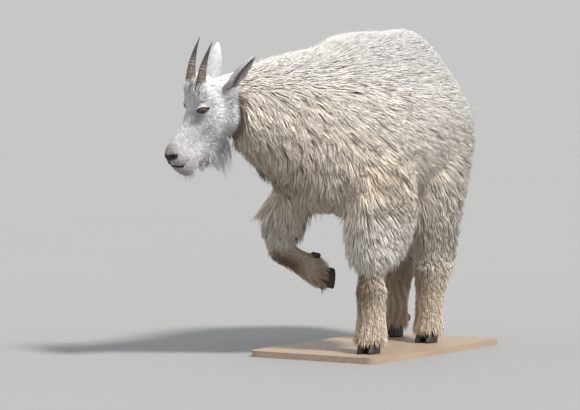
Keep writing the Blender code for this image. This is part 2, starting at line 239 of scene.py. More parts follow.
def fleshMesh():
    bm = opened(*(nodes[name].data for name in fleshNames))
    merged(bm)
    bmesh.ops.recalc_face_normals(bm, faces=bm.faces)
    bm.normal_update()
    for vert in bm.verts:
        vert.co += vert.normal * skinShape["seamFill"]
    for left, ahead, up, radius in skinShape["plugs"]:
        for side in (1, -1):
            place = headToWorld @ Matrix.Translation((left * side, -ahead, up))
            bmesh.ops.create_icosphere(bm, subdivisions=3, radius=radius, matrix=place)
    return fused(objectOf("skin", written(bm, "skin")), skinShape["voxel"], 6)


def largestShell(mesh):
    # drops pockets left inside the seams
    edges = edgesOf(mesh)
    label = np.arange(len(mesh.vertices))
    while True:
        low = np.minimum(label[edges[:, 0]], label[edges[:, 1]])
        fresh = label.copy()
        np.minimum.at(fresh, edges[:, 0], low)
        np.minimum.at(fresh, edges[:, 1], low)
        fresh = fresh[fresh]
        if (fresh == label).all():
            break
        label = fresh
    keep = label == np.bincount(label).argmax()
    bm = opened(mesh)
    loose = [vert for vert, stays in zip(bm.verts, keep) if not stays]
    bmesh.ops.delete(bm, geom=loose, context="VERTS")
    written(bm, mesh)


def beardless(places):
    left, ahead, up = inHead(places).T
    near = ramp(0.06, 0.11, ahead) * fall(0.22, 0.26, ahead) * (up > -0.24) * (abs(left) < 0.1)
    floor = skinShape["beardFloor"]
    lifted = np.where(up < floor, floor + (up - floor) * 0.2, up)
    return outOfHead(columns(left, ahead, up + (lifted - up) * near))


def beforeMane(ahead, up):
    # how far a point of the head is in front of the edge of the neck's long hair
    return ahead + 0.015 + 1.1 * np.minimum(up, 0)


def depthOf(mesh, shares):
    # the head's coat is thin at the muzzle and thicker at cheeks, jaw and crown
    _, ahead, up = inHead(vectorsOf(mesh)).T
    _, y, z = vectorsOf(mesh).T
    before = beforeMane(ahead, up)
    onHead = 0.0018 + 0.003 * fall(0.2, 0.25, ahead) + 0.01 * fall(-0.02, 0.09, ahead)
    onHead += 0.006 * ramp(0.06, 0.12, -up) * fall(0.21, 0.25, ahead) + 0.01 * fall(-0.022, 0, before)
    collar = ramp(-0.018, -0.004, before) * fall(0.01, 0.036, before) * ramp(0.015, 0.045, -up)
    deep = np.tile(list(coatDepth.values()), (len(y), 1))
    deep[:, fleshNames.index("head")] = onHead + 0.013 * collar - 0.0012 * ramp(0.235, 0.25, ahead)
    deep[:, fleshNames.index("trunk")] -= 0.01 * ramp(0.6, 0.74, z) * ramp(-0.22, 0.06, y)
    return (shares * deep).sum(1)


def pulledIn(mesh, depths, rounds=3):
    edges = edgesOf(mesh)
    for _ in range(rounds):
        normals = unit(spreadOut(vectorsOf(mesh, "normal"), edges, 4))
        setPlaces(mesh, vectorsOf(mesh) - normals * (depths / rounds)[:, None])
    setPlaces(mesh, spreadOut(vectorsOf(mesh), edges, 3))


def faceLevels(points):
    # how many times the surface is divided at each point
    left, ahead, up = inHead(points).T
    inside = (up > -0.17) & (abs(left) < 0.12) & (ahead < 0.34)
    eyes = np.linalg.norm(columns(abs(left), ahead, up) - eye["middle"], axis=1)
    fine = (eyes < 0.03) | (ahead > 0.236)
    return inside * ((ahead > -0.012) * 1 + (ahead > 0.07) + fine + (eyes < 0.023))


def dividedFace(mesh):
    for level in (1, 2, 3, 4):
        bm = opened(mesh)
        middles = np.array([(e.verts[0].co + e.verts[1].co) / 2 for e in bm.edges])
        chosen = [edge for edge, use in zip(bm.edges, faceLevels(middles) >= level) if use]
        bmesh.ops.subdivide_edges(bm, edges=chosen, cuts=1, use_grid_fill=True)
        written(bm, mesh)
        inside = faceLevels(vectorsOf(mesh)) >= level
        smooth = spreadOut(vectorsOf(mesh), edgesOf(mesh), 3)
        setPlaces(mesh, np.where(inside[:, None], smooth, vectorsOf(mesh)))


# each touch: forward, up and left of its middle, its reach on the same axes, and the push
faceTouches = {
    "hornSeat": ((0.088, 0.042, 0.026), (0.034, 0.026, 0.03), (0.004, 0.011, 0.003)),
    "brow": ((0.101, 0.03, 0.046), (0.02, 0.012, 0.016), (0, 0.003, 0.003)),
    "tearTrench": ((0.15, -0.006, 0.044), (0.018, 0.009, 0.016), (0, 0, -0.004)),
    "cheekbone": ((0.128, -0.026, 0.052), (0.034, 0.01, 0.02), (0, 0, 0.004)),
    "cheekHollow": ((0.18, -0.05, 0.042), (0.03, 0.024, 0.02), (0, 0, -0.005)),
    "jawMuscle": ((0.08, -0.08, 0.056), (0.04, 0.034, 0.03), (0, 0, 0.004)),
    "noseSide": ((0.205, 0.004, 0.034), (0.045, 0.012, 0.012), (0, 0.001, -0.003)),
    "nostrilWing": ((0.26, -0.013, 0.024), (0.016, 0.013, 0.012), (0.001, 0.001, 0.004)),
    "upperLip": ((0.256, -0.038, 0.03), (0.022, 0.012, 0.014), (0.002, 0, 0.004)),
    "lowerLip": ((0.262, -0.07, 0.022), (0.02, 0.01, 0.016), (0.003, 0, 0.002)),
    "chin": ((0.256, -0.096, 0), (0.024, 0.016, 0.026), (0, -0.005, 0)),
    "nosePad": ((0.268, -0.012, 0), (0.016, 0.014, 0.02), (0.008, 0.001, 0)),
    "lipFront": ((0.274, -0.04, 0), (0.016, 0.012, 0.02), (0.005, 0, 0)),
}
mouth = {"corner": 0.231, "level": -0.0575, "rise": 0.0135, "depth": 0.0045}
nostril = {"middle": (0.2635, -0.0175, 0.02), "reach": (0.009, 0.005, 0.0085), "depth": 0.011}
eye = {
    "middle": np.array((0.0372, 0.112, 0.0115)),  # left, forward, up
    "radius": 0.0165,
    "outward": unit(np.array((0.88, 0.36, 0.22))),
    "toNose": np.array((0, 0.84, 0.53)),  # the way the slit between the lids runs
    "halfLong": 0.0154,
    "topLid": 0.0062,
    "lowLid": 0.0046,
    "lid": 0.002,  # how far the lids stand off the ball
    "bulge": 0.001,
}


def eyeAxes():
    out = eye["outward"]
    along = unit(eye["toNose"] - out * out.dot(eye["toNose"]))
    return out, along, np.cross(along, out) * -1


def mouthLine(ahead):
    # level along the side, then up over the front of the lips
    return mouth["level"] + mouth["rise"] * ramp(0.262, 0.28, ahead)


def lidded(local):
    # wraps the skin over each eyeball, with an almond opening between the lids
    out, along, above = eyeAxes()
    side = np.where(local[:, 0] < 0, -1.0, 1.0)
    away = local * columns(side, 1, 1) - eye["middle"]
    distance = np.linalg.norm(away, axis=1)
    before = away @ out
    near = (distance < 0.04) & (before > -0.004)
    x = away @ along / distance * eye["radius"]
    y = away @ above / distance * eye["radius"]
    bow = 1 - (x / eye["halfLong"]) ** 2
    edge = np.maximum(y - eye["topLid"] * bow, -eye["lowLid"] * bow - y)
    edge = np.where(before > 0, edge, 0.03)
    inner = eye["radius"] - 0.0025
    target = inner + (eye["radius"] + eye["lid"] - inner) * ramp(-0.001, 0.0006, edge)
    target = target - 0.0013 * bell((edge - 0.0056) / 0.0011) * (0.4 + 0.6 * (y > 0))  # the fold of the lid
    blend = fall(0.003, 0.015, edge) * fall(0.021, 0.03, distance) * ramp(0, 0.006, before)
    radius = distance + (target - distance) * blend
    covered = np.where(edge > 0.001, eye["radius"] + 0.001, 0) * (before > 0)
    radius = np.where(near, np.maximum(radius, covered), distance)
    moved = eye["middle"] + away / distance[:, None] * radius[:, None]
    moved[:, 0] *= side
    rim = np.where(near, fall(0.0018, 0.0038, edge), 0) * fall(0.024, 0.026, distance)
    rim = rim * fall(1, 1.12, abs(x) / eye["halfLong"])
    return np.where(near[:, None], moved, local), rim


def carvedFace(mesh):
    left, ahead, up = inHead(vectorsOf(mesh)).T
    face = (ahead > 0.03) & (up > -0.2) & (abs(left) < 0.12) & (ahead < 0.34)
    side = np.sign(left)
    spots = columns(ahead, up, abs(left))
    for middle, reach, push in faceTouches.values():
        weight = blob(spots, middle, reach) * face
        ahead = ahead + weight * push[0]
        up = up + weight * push[1]
        left = left + weight * push[2] * side
    setPlaces(mesh, outOfHead(columns(left, ahead, up)))
    normals = unit(spreadOut(vectorsOf(mesh, "normal"), edgesOf(mesh), 1))
    width = 0.002 + 0.0012 * ramp(0.25, 0.28, ahead)
    groove = bell((up - mouthLine(ahead)) / width) * face
    groove *= ramp(mouth["corner"] - 0.006, mouth["corner"] + 0.012, ahead)
    hole = blob(columns(ahead, up, abs(left)), nostril["middle"], nostril["reach"]) * face
    moved = vectorsOf(mesh) - normals * (groove * mouth["depth"] + hole * nostril["depth"])[:, None]
    moved, rim = lidded(inHead(moved))
    setPlaces(mesh, outOfHead(moved))
    return groove * (0.3 + 0.7 * ramp(0.252, 0.272, ahead)), hole, rim


earShape = {"voxel": 0.0028, "thin": 0.0004, "sink": 0.012, "long": 0.13, "halfWide": 0.0245}
earWays = {  # left, forward and up: from root to tip, and the way the cup opens
    1: (np.array((0.0594, -0.1125, 0.0322)), np.array((0.76, 0.23, -0.6))),
    -1: (np.array((-0.064, -0.106, 0.03)), np.array((-0.905, 0.379, -0.189))),
}


def earMesh():
    # both ears, thinner than with their fur, their roots sunk into the head
    bm = opened(nodes["ear_left"].data, nodes["ear_right"].data)
    merged(bm)
    item = fused(objectOf("ears", written(bm, "ears")), earShape["voxel"], 5)
    mesh = item.data
    setPlaces(mesh, vectorsOf(mesh) - vectorsOf(mesh, "normal") * earShape["thin"])
    left, ahead, up = inHead(vectorsOf(mesh)).T
    sink = fall(-0.005, 0.012, 0.03 - ahead) * earShape["sink"]
    setPlaces(mesh, outOfHead(columns(left - sink * np.sign(left), ahead, up - sink * 0.3)))
    return item


skin = fleshMesh()
largestShell(skin.data)
ownerTree, owners = nodeTree()
setPlaces(skin.data, beardless(vectorsOf(skin.data)))
fromMiddle = vectorsOf(skin.data) - (0.035, 0, 0)
fromMiddle[:, 0] = abs(fromMiddle[:, 0])
croup = 0.018 * blob(fromMiddle, (0.065, 0.35, 0.83), (0.11, 0.11, 0.08))  # a rounder rump
pulledIn(skin.data, depthOf(skin.data, nodeShares(skin.data, 14)) + croup)
dividedFace(skin.data)
leather = carvedFace(skin.data)
bodyCount = len(skin.data.vertices)
ears = earMesh()
written(opened(skin.data, ears.data), skin.data)
bpy.data.objects.remove(ears)
skin.data.shade_smooth()
skin.data.calc_loop_triangles()
print("skin,", len(skin.data.loop_triangles), "triangles")


# how the hair lies on trunk and neck: back, up, the lie back and up, length, width and wave in mm,
# clumping, colour
bodyHair = {
    # the white of withers, back and neck top is painted darker than the sides' white: painted shade against
    # the strong sun on top
    "withers": (-0.2, 0.8, 0.99, -0.08, 76, 2.5, 0.3, 0.15, "shadedWhite"),
    "back": (0.05, 0.84, 0.99, -0.04, 76, 2.3, 0.2, 0.1, "shadedWhite"),
    "rumpTop": (0.3, 0.76, 0.97, -0.16, 72, 2.4, 0.2, 0.15, "pearl"),
    "rumpRear": (0.42, 0.58, 0.7, -0.68, 56, 3.4, 0.5, 0.4, "milk"),
    "rumpLow": (0.4, 0.4, 0.38, -0.92, 74, 4, 1, 0.55, "beige"),
    "flankHigh": (0.05, 0.69, 0.97, -0.2, 80, 2.5, 0.4, 0.16, "milk"),
    "flankMid": (0.05, 0.57, 0.9, -0.42, 64, 3, 0.9, 0.42, "cream"),
    "flankLow": (0.05, 0.43, 0.86, -0.5, 78, 4, 1.2, 0.55, "beige"),
    "belly": (0.05, 0.33, 0.82, -0.57, 70, 4, 1, 0.55, "beige"),
    "thigh": (0.26, 0.5, 0.88, -0.48, 66, 3.8, 0.8, 0.45, "beige"),
    "shoulderTop": (-0.22, 0.7, 0.86, -0.5, 66, 3.7, 2.6, 0.6, "light"),
    "shoulder": (-0.27, 0.57, 0.56, -0.83, 88, 4, 4.6, 0.86, "warm"),
    "shoulderLow": (-0.24, 0.43, 0.42, -0.9, 94, 4, 4, 0.86, "warm"),
    # the chest and throat hair get a darker beige: painted shade
    "chest": (-0.38, 0.5, -0.15, -0.98, 104, 4, 4.2, 0.84, "shadowBeige"),
    "neckTop": (-0.42, 0.8, 0.92, -0.25, 50, 3.8, 1, 0.35, "shadedWhite"),
    "neckSide": (-0.43, 0.67, 0.42, -0.9, 76, 4, 4.6, 0.82, "warm"),
    "throatShade": (-0.52, 0.56, 0.5, -0.86, 40, 3.2, 1.6, 0.55, "shadowBeige"),
}
# some of these colours are painted shade: the darker beige of chest and throat, the brown of the jaw fold,
# the face's grey, the dark of the ear cup, and the darker white of the sunlit top
hairColours = {name: np.array(colour) for name, colour in {
    "shadedWhite": (0.755, 0.74, 0.72), "pearl": (0.93, 0.9, 0.865), "milk": (0.955, 0.915, 0.86),
    "cream": (0.925, 0.865, 0.785), "light": (0.97, 0.91, 0.84), "warm": (0.96, 0.86, 0.74),
    "shadowBeige": (0.64, 0.55, 0.45), "beige": (0.75, 0.685, 0.6), "tan": (0.5, 0.36, 0.23),
    "brown": (0.19, 0.115, 0.062), "rust": (0.24, 0.13, 0.055), "face": (0.76, 0.755, 0.76),
    "speck": (0.15, 0.115, 0.1), "beard": (0.97, 0.96, 0.94), "faceShadeGrey": (0.27, 0.275, 0.315),
    "pink": (0.35, 0.3, 0.275), "throatShade": (0.23, 0.19, 0.16), "cup": (0.2, 0.17, 0.155),
}.items()}
legLines = {  # from the elbow or knee down, from goatAt
    "front_left": [(0.1, -0.235, 0.46), (0.12, -0.185, 0.2), (0.12, -0.205, 0)],
    "front_right": [(-0.105, -0.22, 0.47), (-0.118, -0.235, 0.41), (-0.138, -0.285, 0.286),
                    (-0.063, -0.192, 0.224), (-0.032, -0.15, 0.2)],
    "hind_left": [(0.1, 0.2, 0.46), (0.09, 0.178, 0.24), (0.09, 0.16, 0)],
    "hind_right": [(-0.1, 0.27, 0.46), (-0.09, 0.283, 0.24), (-0.09, 0.266, 0)],
}


def alongLine(points, line):
    # the direction of the nearest stretch, blended, and how far down the line it is
    line = np.array(line)
    total, weights, best, far, gone = 0, 1e-9, 9, 0, 0
    for start, end in zip(line, line[1:]):
        size = np.linalg.norm(end - start)
        t = np.clip((points - start) @ (end - start) / size**2, 0, 1)
        away = np.linalg.norm(points - start - t[:, None] * (end - start), axis=1)
        weight = bell(away / 0.03) + 1e-9
        total = total + weight[:, None] * (end - start) / size
        weights = weights + weight
        far = np.where(away < best, gone + t * size, far)
        best = np.minimum(best, away)
        gone += size
    return unit(total / weights[:, None]), far


def lineAt(line, far):
    line = np.array(line)
    stops = np.concatenate([[0], np.cumsum(np.linalg.norm(np.diff(line, axis=0), axis=1))])
    return columns(*(np.interp(far, stops, line[:, k]) for k in range(3)))


def lowerTint(limb, places, normals, far):
    # pale legs with tan stains at the front inner side, and a darker brown band at the knee, partly the
    # knee's own brown and partly painted shade under the long hair above it
    x, y, z = places.T
    inner = (lineAt(legLines[limb], far)[:, 0] - x) / 0.03 * (1 if "left" in limb else -1)
    front = ramp(-0.5, 0.8, -normals[:, 1] * 0.75 + inner * 0.45)
    streak = 0.5 + 0.5 * np.sin(x * 330 + np.sin(z * 50) * 2.2 + y * 120)
    if limb == "front_right":
        # the raised leg: painted shade on the downward and forward faces at the knee, and darker towards the
        # hoof
        under = ramp(-0.2, 0.7, -normals[:, 2] * 0.7 - normals[:, 1] * 0.5)
        tintShare = ramp(0.19, 0.23, far) * (0.3 + 0.35 * streak)
        dark = under * ramp(0.17, 0.2, far) * (1 - 0.75 * ramp(0.25, 0.32, far)) * 0.95
        dark += 0.25 * ramp(0.31, 0.35, far)
    else:
        tintShare = fall(0.19, 0.25, z) * ramp(0, 0.06, z) * (0.2 + 0.6 * streak * (0.2 + front))
        tintShare += 0.1 * fall(0.03, 0.08, z)
        # the knee band: partly the knee's own brown, partly painted shade under the long hair above
        dark = ramp(0.13, 0.165, z) * fall(0.23, 0.255, z) * (0.22 + 0.62 * front)
        dark += ramp(0.05, 0.1, z) * fall(0.12, 0.17, z) * streak * front * 0.4
        dark *= 0.8 if limb == "front_left" else 0.3
    colour = toward(hairColours["warm"], hairColours["tan"], np.clip(tintShare, 0, 1))
    return toward(colour, hairColours["brown"], np.clip(dark, 0, 1))


faceShades = {  # painted shade on the face: forward, up, left, the reach of each, and the strength
    "underEye": ((0.148, 0.002, 0.045), (0.022, 0.018, 0.03), 0.48),
    "temple": ((0.044, -0.024, 0.055), (0.022, 0.03, 0.03), 0.95),
    "cheekHollow": ((0.19, -0.028, 0.04), (0.022, 0.014, 0.03), 0.25),
    "socketFront": ((0.136, 0.018, 0.038), (0.01, 0.013, 0.02), 0.5),
    "socketTop": ((0.118, 0.033, 0.042), (0.02, 0.0045, 0.02), 0.35),
    "socketRear": ((0.086, 0.002, 0.052), (0.01, 0.014, 0.02), 0.3),
    "bridge": ((0.17, 0, 0.034), (0.012, 0.01, 0.02), 0.35),
    "jawShade": ((0.105, -0.095, 0.055), (0.03, 0.018, 0.03), 0.3),
}


def faceTint(left, ahead, up):
    spots = columns(ahead, up, abs(left))
    dots = np.sin(ahead * 820 + 2.2 * np.sin(up * 430))
    dots = dots * np.sin(up * 760 + 2 * np.sin(ahead * 390 + left * 300))
    colour = hairColours["face"]
    for name, share in {
        # painted shade in grey, then the pink muzzle, the white beard and dark freckles
        "faceShadeGrey": sum(strength * blob(spots, middle, reach) for middle, reach, strength in faceShades.values()),
        "pink": 0.9 * ramp(0.2, 0.26, ahead) * (0.7 + 0.3 * ramp(-0.03, -0.005, up)),
        "beard": ramp(0.085, 0.115, -up) * ramp(0.08, 0.12, ahead),
        "speck": 0.8 * ramp(0.3, 0.7, dots) * blob(spots, (0.255, -0.036, 0.024), (0.026, 0.03, 0.04)),
    }.items():
        colour = toward(colour, hairColours[name], np.clip(share, 0, 1))
    return colour


def hairFields(mesh, shares, depths):
    world, normals = vectorsOf(mesh), vectorsOf(mesh, "normal")
    places = inGoat(world)
    x, y, z = places.T
    left, ahead, up = inHead(world).T
    before = beforeMane(ahead, up)
    sums = [np.zeros((len(x), width)) for width in (3, 4, 3)]

    def share(region):
        # how much of a region's nodes there is
        return sum(shares[:, k] for k, name in enumerate(fleshNames) if name.startswith(region))

    def cover(part, lie, size, colour):
        # adds a part's lie, its length, width, wave and clumping, and its colour
        for total, values in zip(sums, (lie, size, colour)):
            total += part[:, None] * values

    rows = np.array([row[:8] for row in bodyHair.values()], float)
    weight = np.exp(-((y[:, None] - rows[:, 0]) ** 2 + (z[:, None] - rows[:, 1]) ** 2) / 0.075**2) + 1e-7
    weight /= weight.sum(1, keepdims=True)
    near = weight @ rows
    colours = weight @ np.array([hairColours[row[8]] for row in bodyHair.values()])
    maned = fall(0, 0.012, before)
    neck, head = share("neck") + share("head") * maned, share("head") * (1 - maned)
    body = share("trunk") + neck
    size = near[:, 4:8] * (0.001, 0.00088, 0.001, 1)
    size[:, 0] *= 1 - 0.45 * ramp(0.2, 0.8, -normals[:, 2]) * (z < 0.5) * (y > -0.33)  # short below
    size[:, 0] *= 1 - 0.55 * blob(places, (-0.08, -0.2, 0.4), (0.09, 0.07, 0.06))
    size[:, 0] *= 1 - 0.55 * blob(places, (-0.14, -0.44, 0.585), (0.05, 0.06, 0.05))
    cover(body, columns(0, near[:, 2], near[:, 3]) + neck[:, None] * (0.15, 0.05, 0), size, colours)
    cover(share("tail"), (0, 0.45, -0.9), (0.045, 0.0046, 0.0004, 0.5), hairColours["shadedWhite"])

    footed = np.zeros(len(x))
    rear = ramp(-0.5, 0.9, normals[:, 1])
    for limb, line in legLines.items():
        down, far = alongLine(places, line)
        upper, lower = share("leg_" + limb + "_upper"), share("leg_" + limb + "_lower")
        low = lowerTint(limb, places, normals, far)
        shade, dim = hairColours["beige"] * 1.08, 1
        if limb == "front_right":
            # the raised leg's upper hair is a little darker all over: painted shade
            sweep, tufted, dim, long = 0.15, ramp(0.28, 0.33, far), 0.88, ramp(0.3, 0.35, far)
            reach = (0.05 + 0.014 * rear) * (0.45 + 0.55 * ramp(0.31, 0.4, z))
            reach = reach * (1 - 0.5 * ramp(-0.235, -0.19, y))
        else:
            sweep, tufted, long = 0.38, fall(0.04, 0.08, z), ramp(0.13, 0.21, z)
            reach = (0.066 + 0.032 * rear) * (0.3 + 0.7 * ramp(0.215, 0.33, z))
        if limb == "front_left":
            # darker beige on the top of the near foreleg, under the shoulder's hair: painted shade
            shade = toward(hairColours["light"], hairColours["shadowBeige"] * 1.1, ramp(0.39, 0.47, z))
            shade = toward(shade, low, fall(0.215, 0.25, z))
        elif limb.startswith("hind"):
            # the hind legs' upper hair darker towards the bottom: painted shade
            dim = 1 - 0.21 * fall(0.3, 0.46, z)[:, None]
        short = 0.015 + 0.006 * rear + 0.008 * tufted + 0.012 * long
        cover(upper, down * 0.9 + (0, sweep, 0), columns(reach, 0.004, 0.0012, 0.6), shade * dim)
        cover(lower, down + (0, 0.08, 0), columns(short, 0.0021, 0.0003, 0.45), low)
        footed += lower * tufted

    rear, under = fall(0.02, 0.14, ahead), ramp(0.05, 0.11, -up)
    crown = ramp(0.03, 0.06, up) * fall(0.12, 0.17, ahead)
    sink = 0.28 * ramp(-0.06, 0.02, -up) - 0.55 * crown + 0.55 * rear * (1 - crown) + 0.45 * under
    reach = 0.005 + 0.006 * fall(0.15, 0.24, ahead) + 0.014 * rear + 0.008 * crown
    reach += 0.012 * under * fall(0.2, 0.25, ahead)
    reach += 0.012 * blob(columns(ahead, up, abs(left)), (0.088, 0.05, 0.026), (0.03, 0.03, 0.026))
    reach *= 1 - 0.76 * fall(0.035, 0.08, before) * ramp(0, 0.03, -up)
    girth = 0.001 + 0.0012 * rear + 0.0008 * under
    cover(head, turnedOut(columns(np.sign(left) * 0.1, -1, -sink)), columns(reach, girth, 0.0002, 0.42),
          faceTint(left, ahead, up))
    lie, size, tint = sums

    # the fold between jaw and mane: painted shadow in it, and shorter hair
    fold = ramp(-0.02, -0.008, before) * fall(0.01, 0.02, before) * ramp(0.015, 0.045, -up)
    fold = fold * fall(0.13, 0.16, -up) * (neck + head)
    tint = toward(tint, hairColours["throatShade"], 0.9 * fold)
    size[:, :2] *= 1 - fold[:, None] * (0.72, 0.45)

    # ears: from the root to the tip, painted shade in a band up the cup, and darker towards the root, partly
    # the root's own darker hair and partly painted shade
    isEar, onLeft = (np.arange(len(x)) >= bodyCount)[:, None], (left > 0)[:, None]
    way, cup = (np.where(onLeft, earWays[1][k], earWays[-1][k]) for k in (0, 1))
    along = ((world - headPlace) @ headTurn[:, 1]) / earShape["long"]
    root = np.where(onLeft, (0.052, 0.03, -0.004), (-0.05, 0.025, -0.005))
    across = ((columns(left, ahead, up) - root) * unit(np.cross(way, cup))).sum(1) / earShape["halfWide"]
    middle, band = np.where(onLeft, (-0.16, 0.27), (0, 0.5)).T
    inside = ramp(0.1, 0.55, (normals * unit(turnedOut(cup))).sum(1)) * isEar[:, 0]
    inside = inside * bell((across * np.sign(left) - middle) / band) * fall(0.48, 0.58, along)
    # painted shade: the cup's band and the darker root, weaker on the right ear
    shaded = np.clip(inside + 0.42 * fall(0.2, 0.6, along), 0, 1) * np.where(left > 0, 1, 0.55)
    lie = np.where(isEar, turnedOut(way), lie)
    size = np.where(isEar, (0.01, 0.0012, 0.0001, 0.2), size)
    tint = np.where(isEar, toward(hairColours["face"], hairColours["cup"], shaded), tint)

    # tan where the front of the trunk faces down: painted shade
    below = ramp(0.1, 0.7, -normals[:, 2]) * (z < 0.48) * (y < 0) * share("trunk")
    for name, tintShare in (
        ("tan", 0.35 * below),
        # tan in the hollow between the shoulder's long hair and the near foreleg: painted shade
        ("tan", 0.55 * blob(places, (0.14, -0.215, 0.52), (0.06, 0.055, 0.05))),
        ("rust", 0.9 * blob(places, (-0.088, -0.2, 0.375), (0.036, 0.036, 0.048))),  # the raised leg's pit
    ):
        tint = toward(tint, hairColours[name], tintShare)
    lie = lie - normals * (lie * normals).sum(1, keepdims=True)
    rise = depths + 0.003 * sum(share("leg_" + limb + "_lower") for limb in legLines) + 0.006 * footed
    rise = np.maximum(rise, 0.0032 * head)
    tooHigh = np.maximum(rise - 0.45 * size[:, 0] - 0.004, 0)
    rise = rise - tooHigh * np.clip(1 - body + fold, 0, 1)
    return dict(zip(("reach", "girth", "wave", "pull"), size.T)) | {
        "lie": unit(spreadOut(unit(lie), edgesOf(mesh), 2)), "tint": columns(*tint.T, 1), "inside": inside,
        "rise": np.where(isEar[:, 0], 0.002, rise)}


def skinPieces(mesh, shares):
    # the coat piece of each face, and where each corner lies on the skin's unwrap
    corner = valuesOf(mesh.loops, "vertex_index")
    starts, sizes = (valuesOf(mesh.polygons, key) for key in ("loop_start", "loop_total"))
    faceOf = np.repeat(np.arange(len(starts)), sizes)
    world = vectorsOf(mesh)
    places = inGoat(world)
    middle = np.stack([np.bincount(faceOf, places[corner, k]) for k in range(3)], 1) / sizes[:, None]
    x, y, _ = middle.T
    _, ahead, up = inHead(middle + np.array(goatAt)).T
    names = np.array(fleshNames)[shares[corner[starts]].argmax(1)]
    names = np.where((names == "head") & (beforeMane(ahead, up) < 0.006), "neck", names)
    trunk = names == "trunk"
    half = np.where(x > np.where(trunk, 0, (y + 0.33) * 0.75), "_left", "_right")
    half = np.char.add(half, np.where(trunk, np.where(y < 0.03, "_fore", "_hind"), ""))
    names = np.where(trunk | (names == "neck"), np.char.add(names, half), names)
    names = np.char.replace(np.char.replace(names, "_upper", ""), "_lower", "")
    names = np.where(corner[starts] >= bodyCount, "ears", names)
    pieceNames, piece = np.unique(names, return_inverse=True)
    spot = np.zeros((len(corner), 2))
    for k, name in enumerate(pieceNames):
        mine = np.flatnonzero(piece[faceOf] == k)
        x, y, z = places[corner[mine]].T
        if name in ("head", "ears"):
            left, along, up = inHead(world[corner[mine]]).T
            turn = np.arctan2(left, up + 0.05)
            along = along + 0.2 * (left <= 0) * (name == "ears")
        elif name.startswith("leg"):
            line = legLines[name[4:]]
            down, along = alongLine(columns(x, y, z), line)
            beside = columns(x, y, z) - lineAt(line, along)
            across = unit(np.cross(down, (0, 1, 0.2)))
            turn = np.arctan2((beside * across).sum(1), (beside * np.cross(across, down)).sum(1))
        elif name == "tail":
            turn, along = np.arctan2(x, y - 0.44), z
        else:
            bend = np.minimum(y + 0.33, 0)  # the neck turns and drops from here
            turn, along = np.arctan2(x - bend * 0.75, z - 0.57 + bend * 0.5), y
        turn = turn / (2 * math.pi)
        first = np.zeros(len(starts))
        first[faceOf[mine[::-1]]] = turn[::-1]
        turn = turn - np.round(turn - first[faceOf[mine]])  # a face stays within one turn
        for column, values in enumerate((turn, along)):
            low, high = values.min(), values.max()
            spot[mine, column] = 0.02 + 0.955 * (values - low) / (high - low + 1e-9)
    return list(pieceNames), piece, spot


shares = nodeShares(skin.data, 10)
hair = hairFields(skin.data, shares, depthOf(skin.data, shares))
inside = hair.pop("inside")
pieceNames, pieceOf, spots = skinPieces(skin.data, shares)
left, ahead, up = inHead(vectorsOf(skin.data)).T
onFace = columns(ahead, up, abs(left))
onBody = np.arange(len(left)) < bodyCount
leatherSpots = {  # black leather: forward, up, left, and the reach of each
    "pad": ((0.276, -0.011, 0.002), (0.011, 0.011, 0.013)),
    "nostril": ((0.268, -0.0195, 0.0135), (0.0105, 0.0085, 0.0105)),
    "nostrilTail": ((0.256, -0.0245, 0.0215), (0.0105, 0.006, 0.01)),
    "philtrum": ((0.28, -0.028, 0.002), (0.011, 0.014, 0.008)),
    "tearDuct": ((0.1285, 0.025, 0.043), (0.004, 0.0032, 0.01)),
}
bare = bell((up - mouthLine(ahead)) / (0.0016 + 0.004 * ramp(0.252, 0.272, ahead)))
bare = bare * ramp(0.24, 0.266, ahead) * (ahead < 0.34)
bare[:bodyCount] = np.max([bare[:bodyCount], *leather], axis=0)
for middle, reach in leatherSpots.values():
    bare = np.maximum(bare, 1.25 * blob(onFace, middle, reach))
bare = np.clip(bare, 0, 1) * onBody
beardy = ramp(0.12, 0.138, ahead) * fall(0.21, 0.24, ahead) * ramp(0.08, 0.105, -up) * (abs(left) < 0.06)
beardy = (beardy + 0.5 * blob(onFace, (0.262, -0.1, 0), (0.012, 0.012, 0.015))) * onBody
beardReach = 0.028 + 0.012 * ramp(0.125, 0.145, ahead) - 0.029 * ramp(0.15, 0.205, ahead)
for name, values in {
    **hair,
    "bare": bare,
    "hairy": np.clip(1 - bare * 1.6, 0, 1) * (1 - 0.5 * inside),
    "beardy": beardy,
    "beardReach": beardReach - 0.004 * ramp(0.225, 0.25, ahead),
    "crested": ramp(0.55, 0.85, vectorsOf(skin.data, "normal")[:, 2]) * onBody * shares[:, :2].sum(1),
    "crestReach": np.full(len(left), 0.04),
    "pitted": blob(inGoat(vectorsOf(skin.data)), (-0.093, -0.183, 0.36), (0.033,) * 3),
    "freckled": blob(onFace, (0.258, -0.045, 0.022), (0.03, 0.04, 0.035)),
    "face": columns(left, ahead, up),
}.items():
    store(skin.data, name, values)
store(skin.data, "piece", pieceOf, "FACE")
store(skin.data, "spot", columns(*spots.T, 0), "CORNER")
print("hair lies along the skin")


def wire(tree, kind, *values, **settings):
    # adds a node, fills its inputs in order, and gives its first output
    made = tree.nodes.new(kind)
    for key, value in settings.items():
        setattr(made, key, value)
    for socket, value in zip([s for s in made.inputs if s.enabled], values):
        if isinstance(value, bpy.types.NodeSocket):
            tree.links.new(value, socket)
        elif value is not None:
            socket.default_value = value
    return next((s for s in made.outputs if s.enabled), None)


def fill(node, values):
    # links or sets inputs by their names
    for key, value in values.items():
        if isinstance(value, bpy.types.NodeSocket):
            node.id_data.links.new(value, node.inputs[key])
        else:
            node.inputs[key].default_value = value


def calc(operation, *values):
    # maths on sockets and numbers, with vectors where a socket is a vector or a colour
    sockets = [value for value in values if isinstance(value, bpy.types.NodeSocket)]
    kind = "Vector" if any(socket.type in ("VECTOR", "RGBA") for socket in sockets) else ""
    return wire(sockets[0].id_data, "ShaderNode" + kind + "Math", *values, operation=operation)


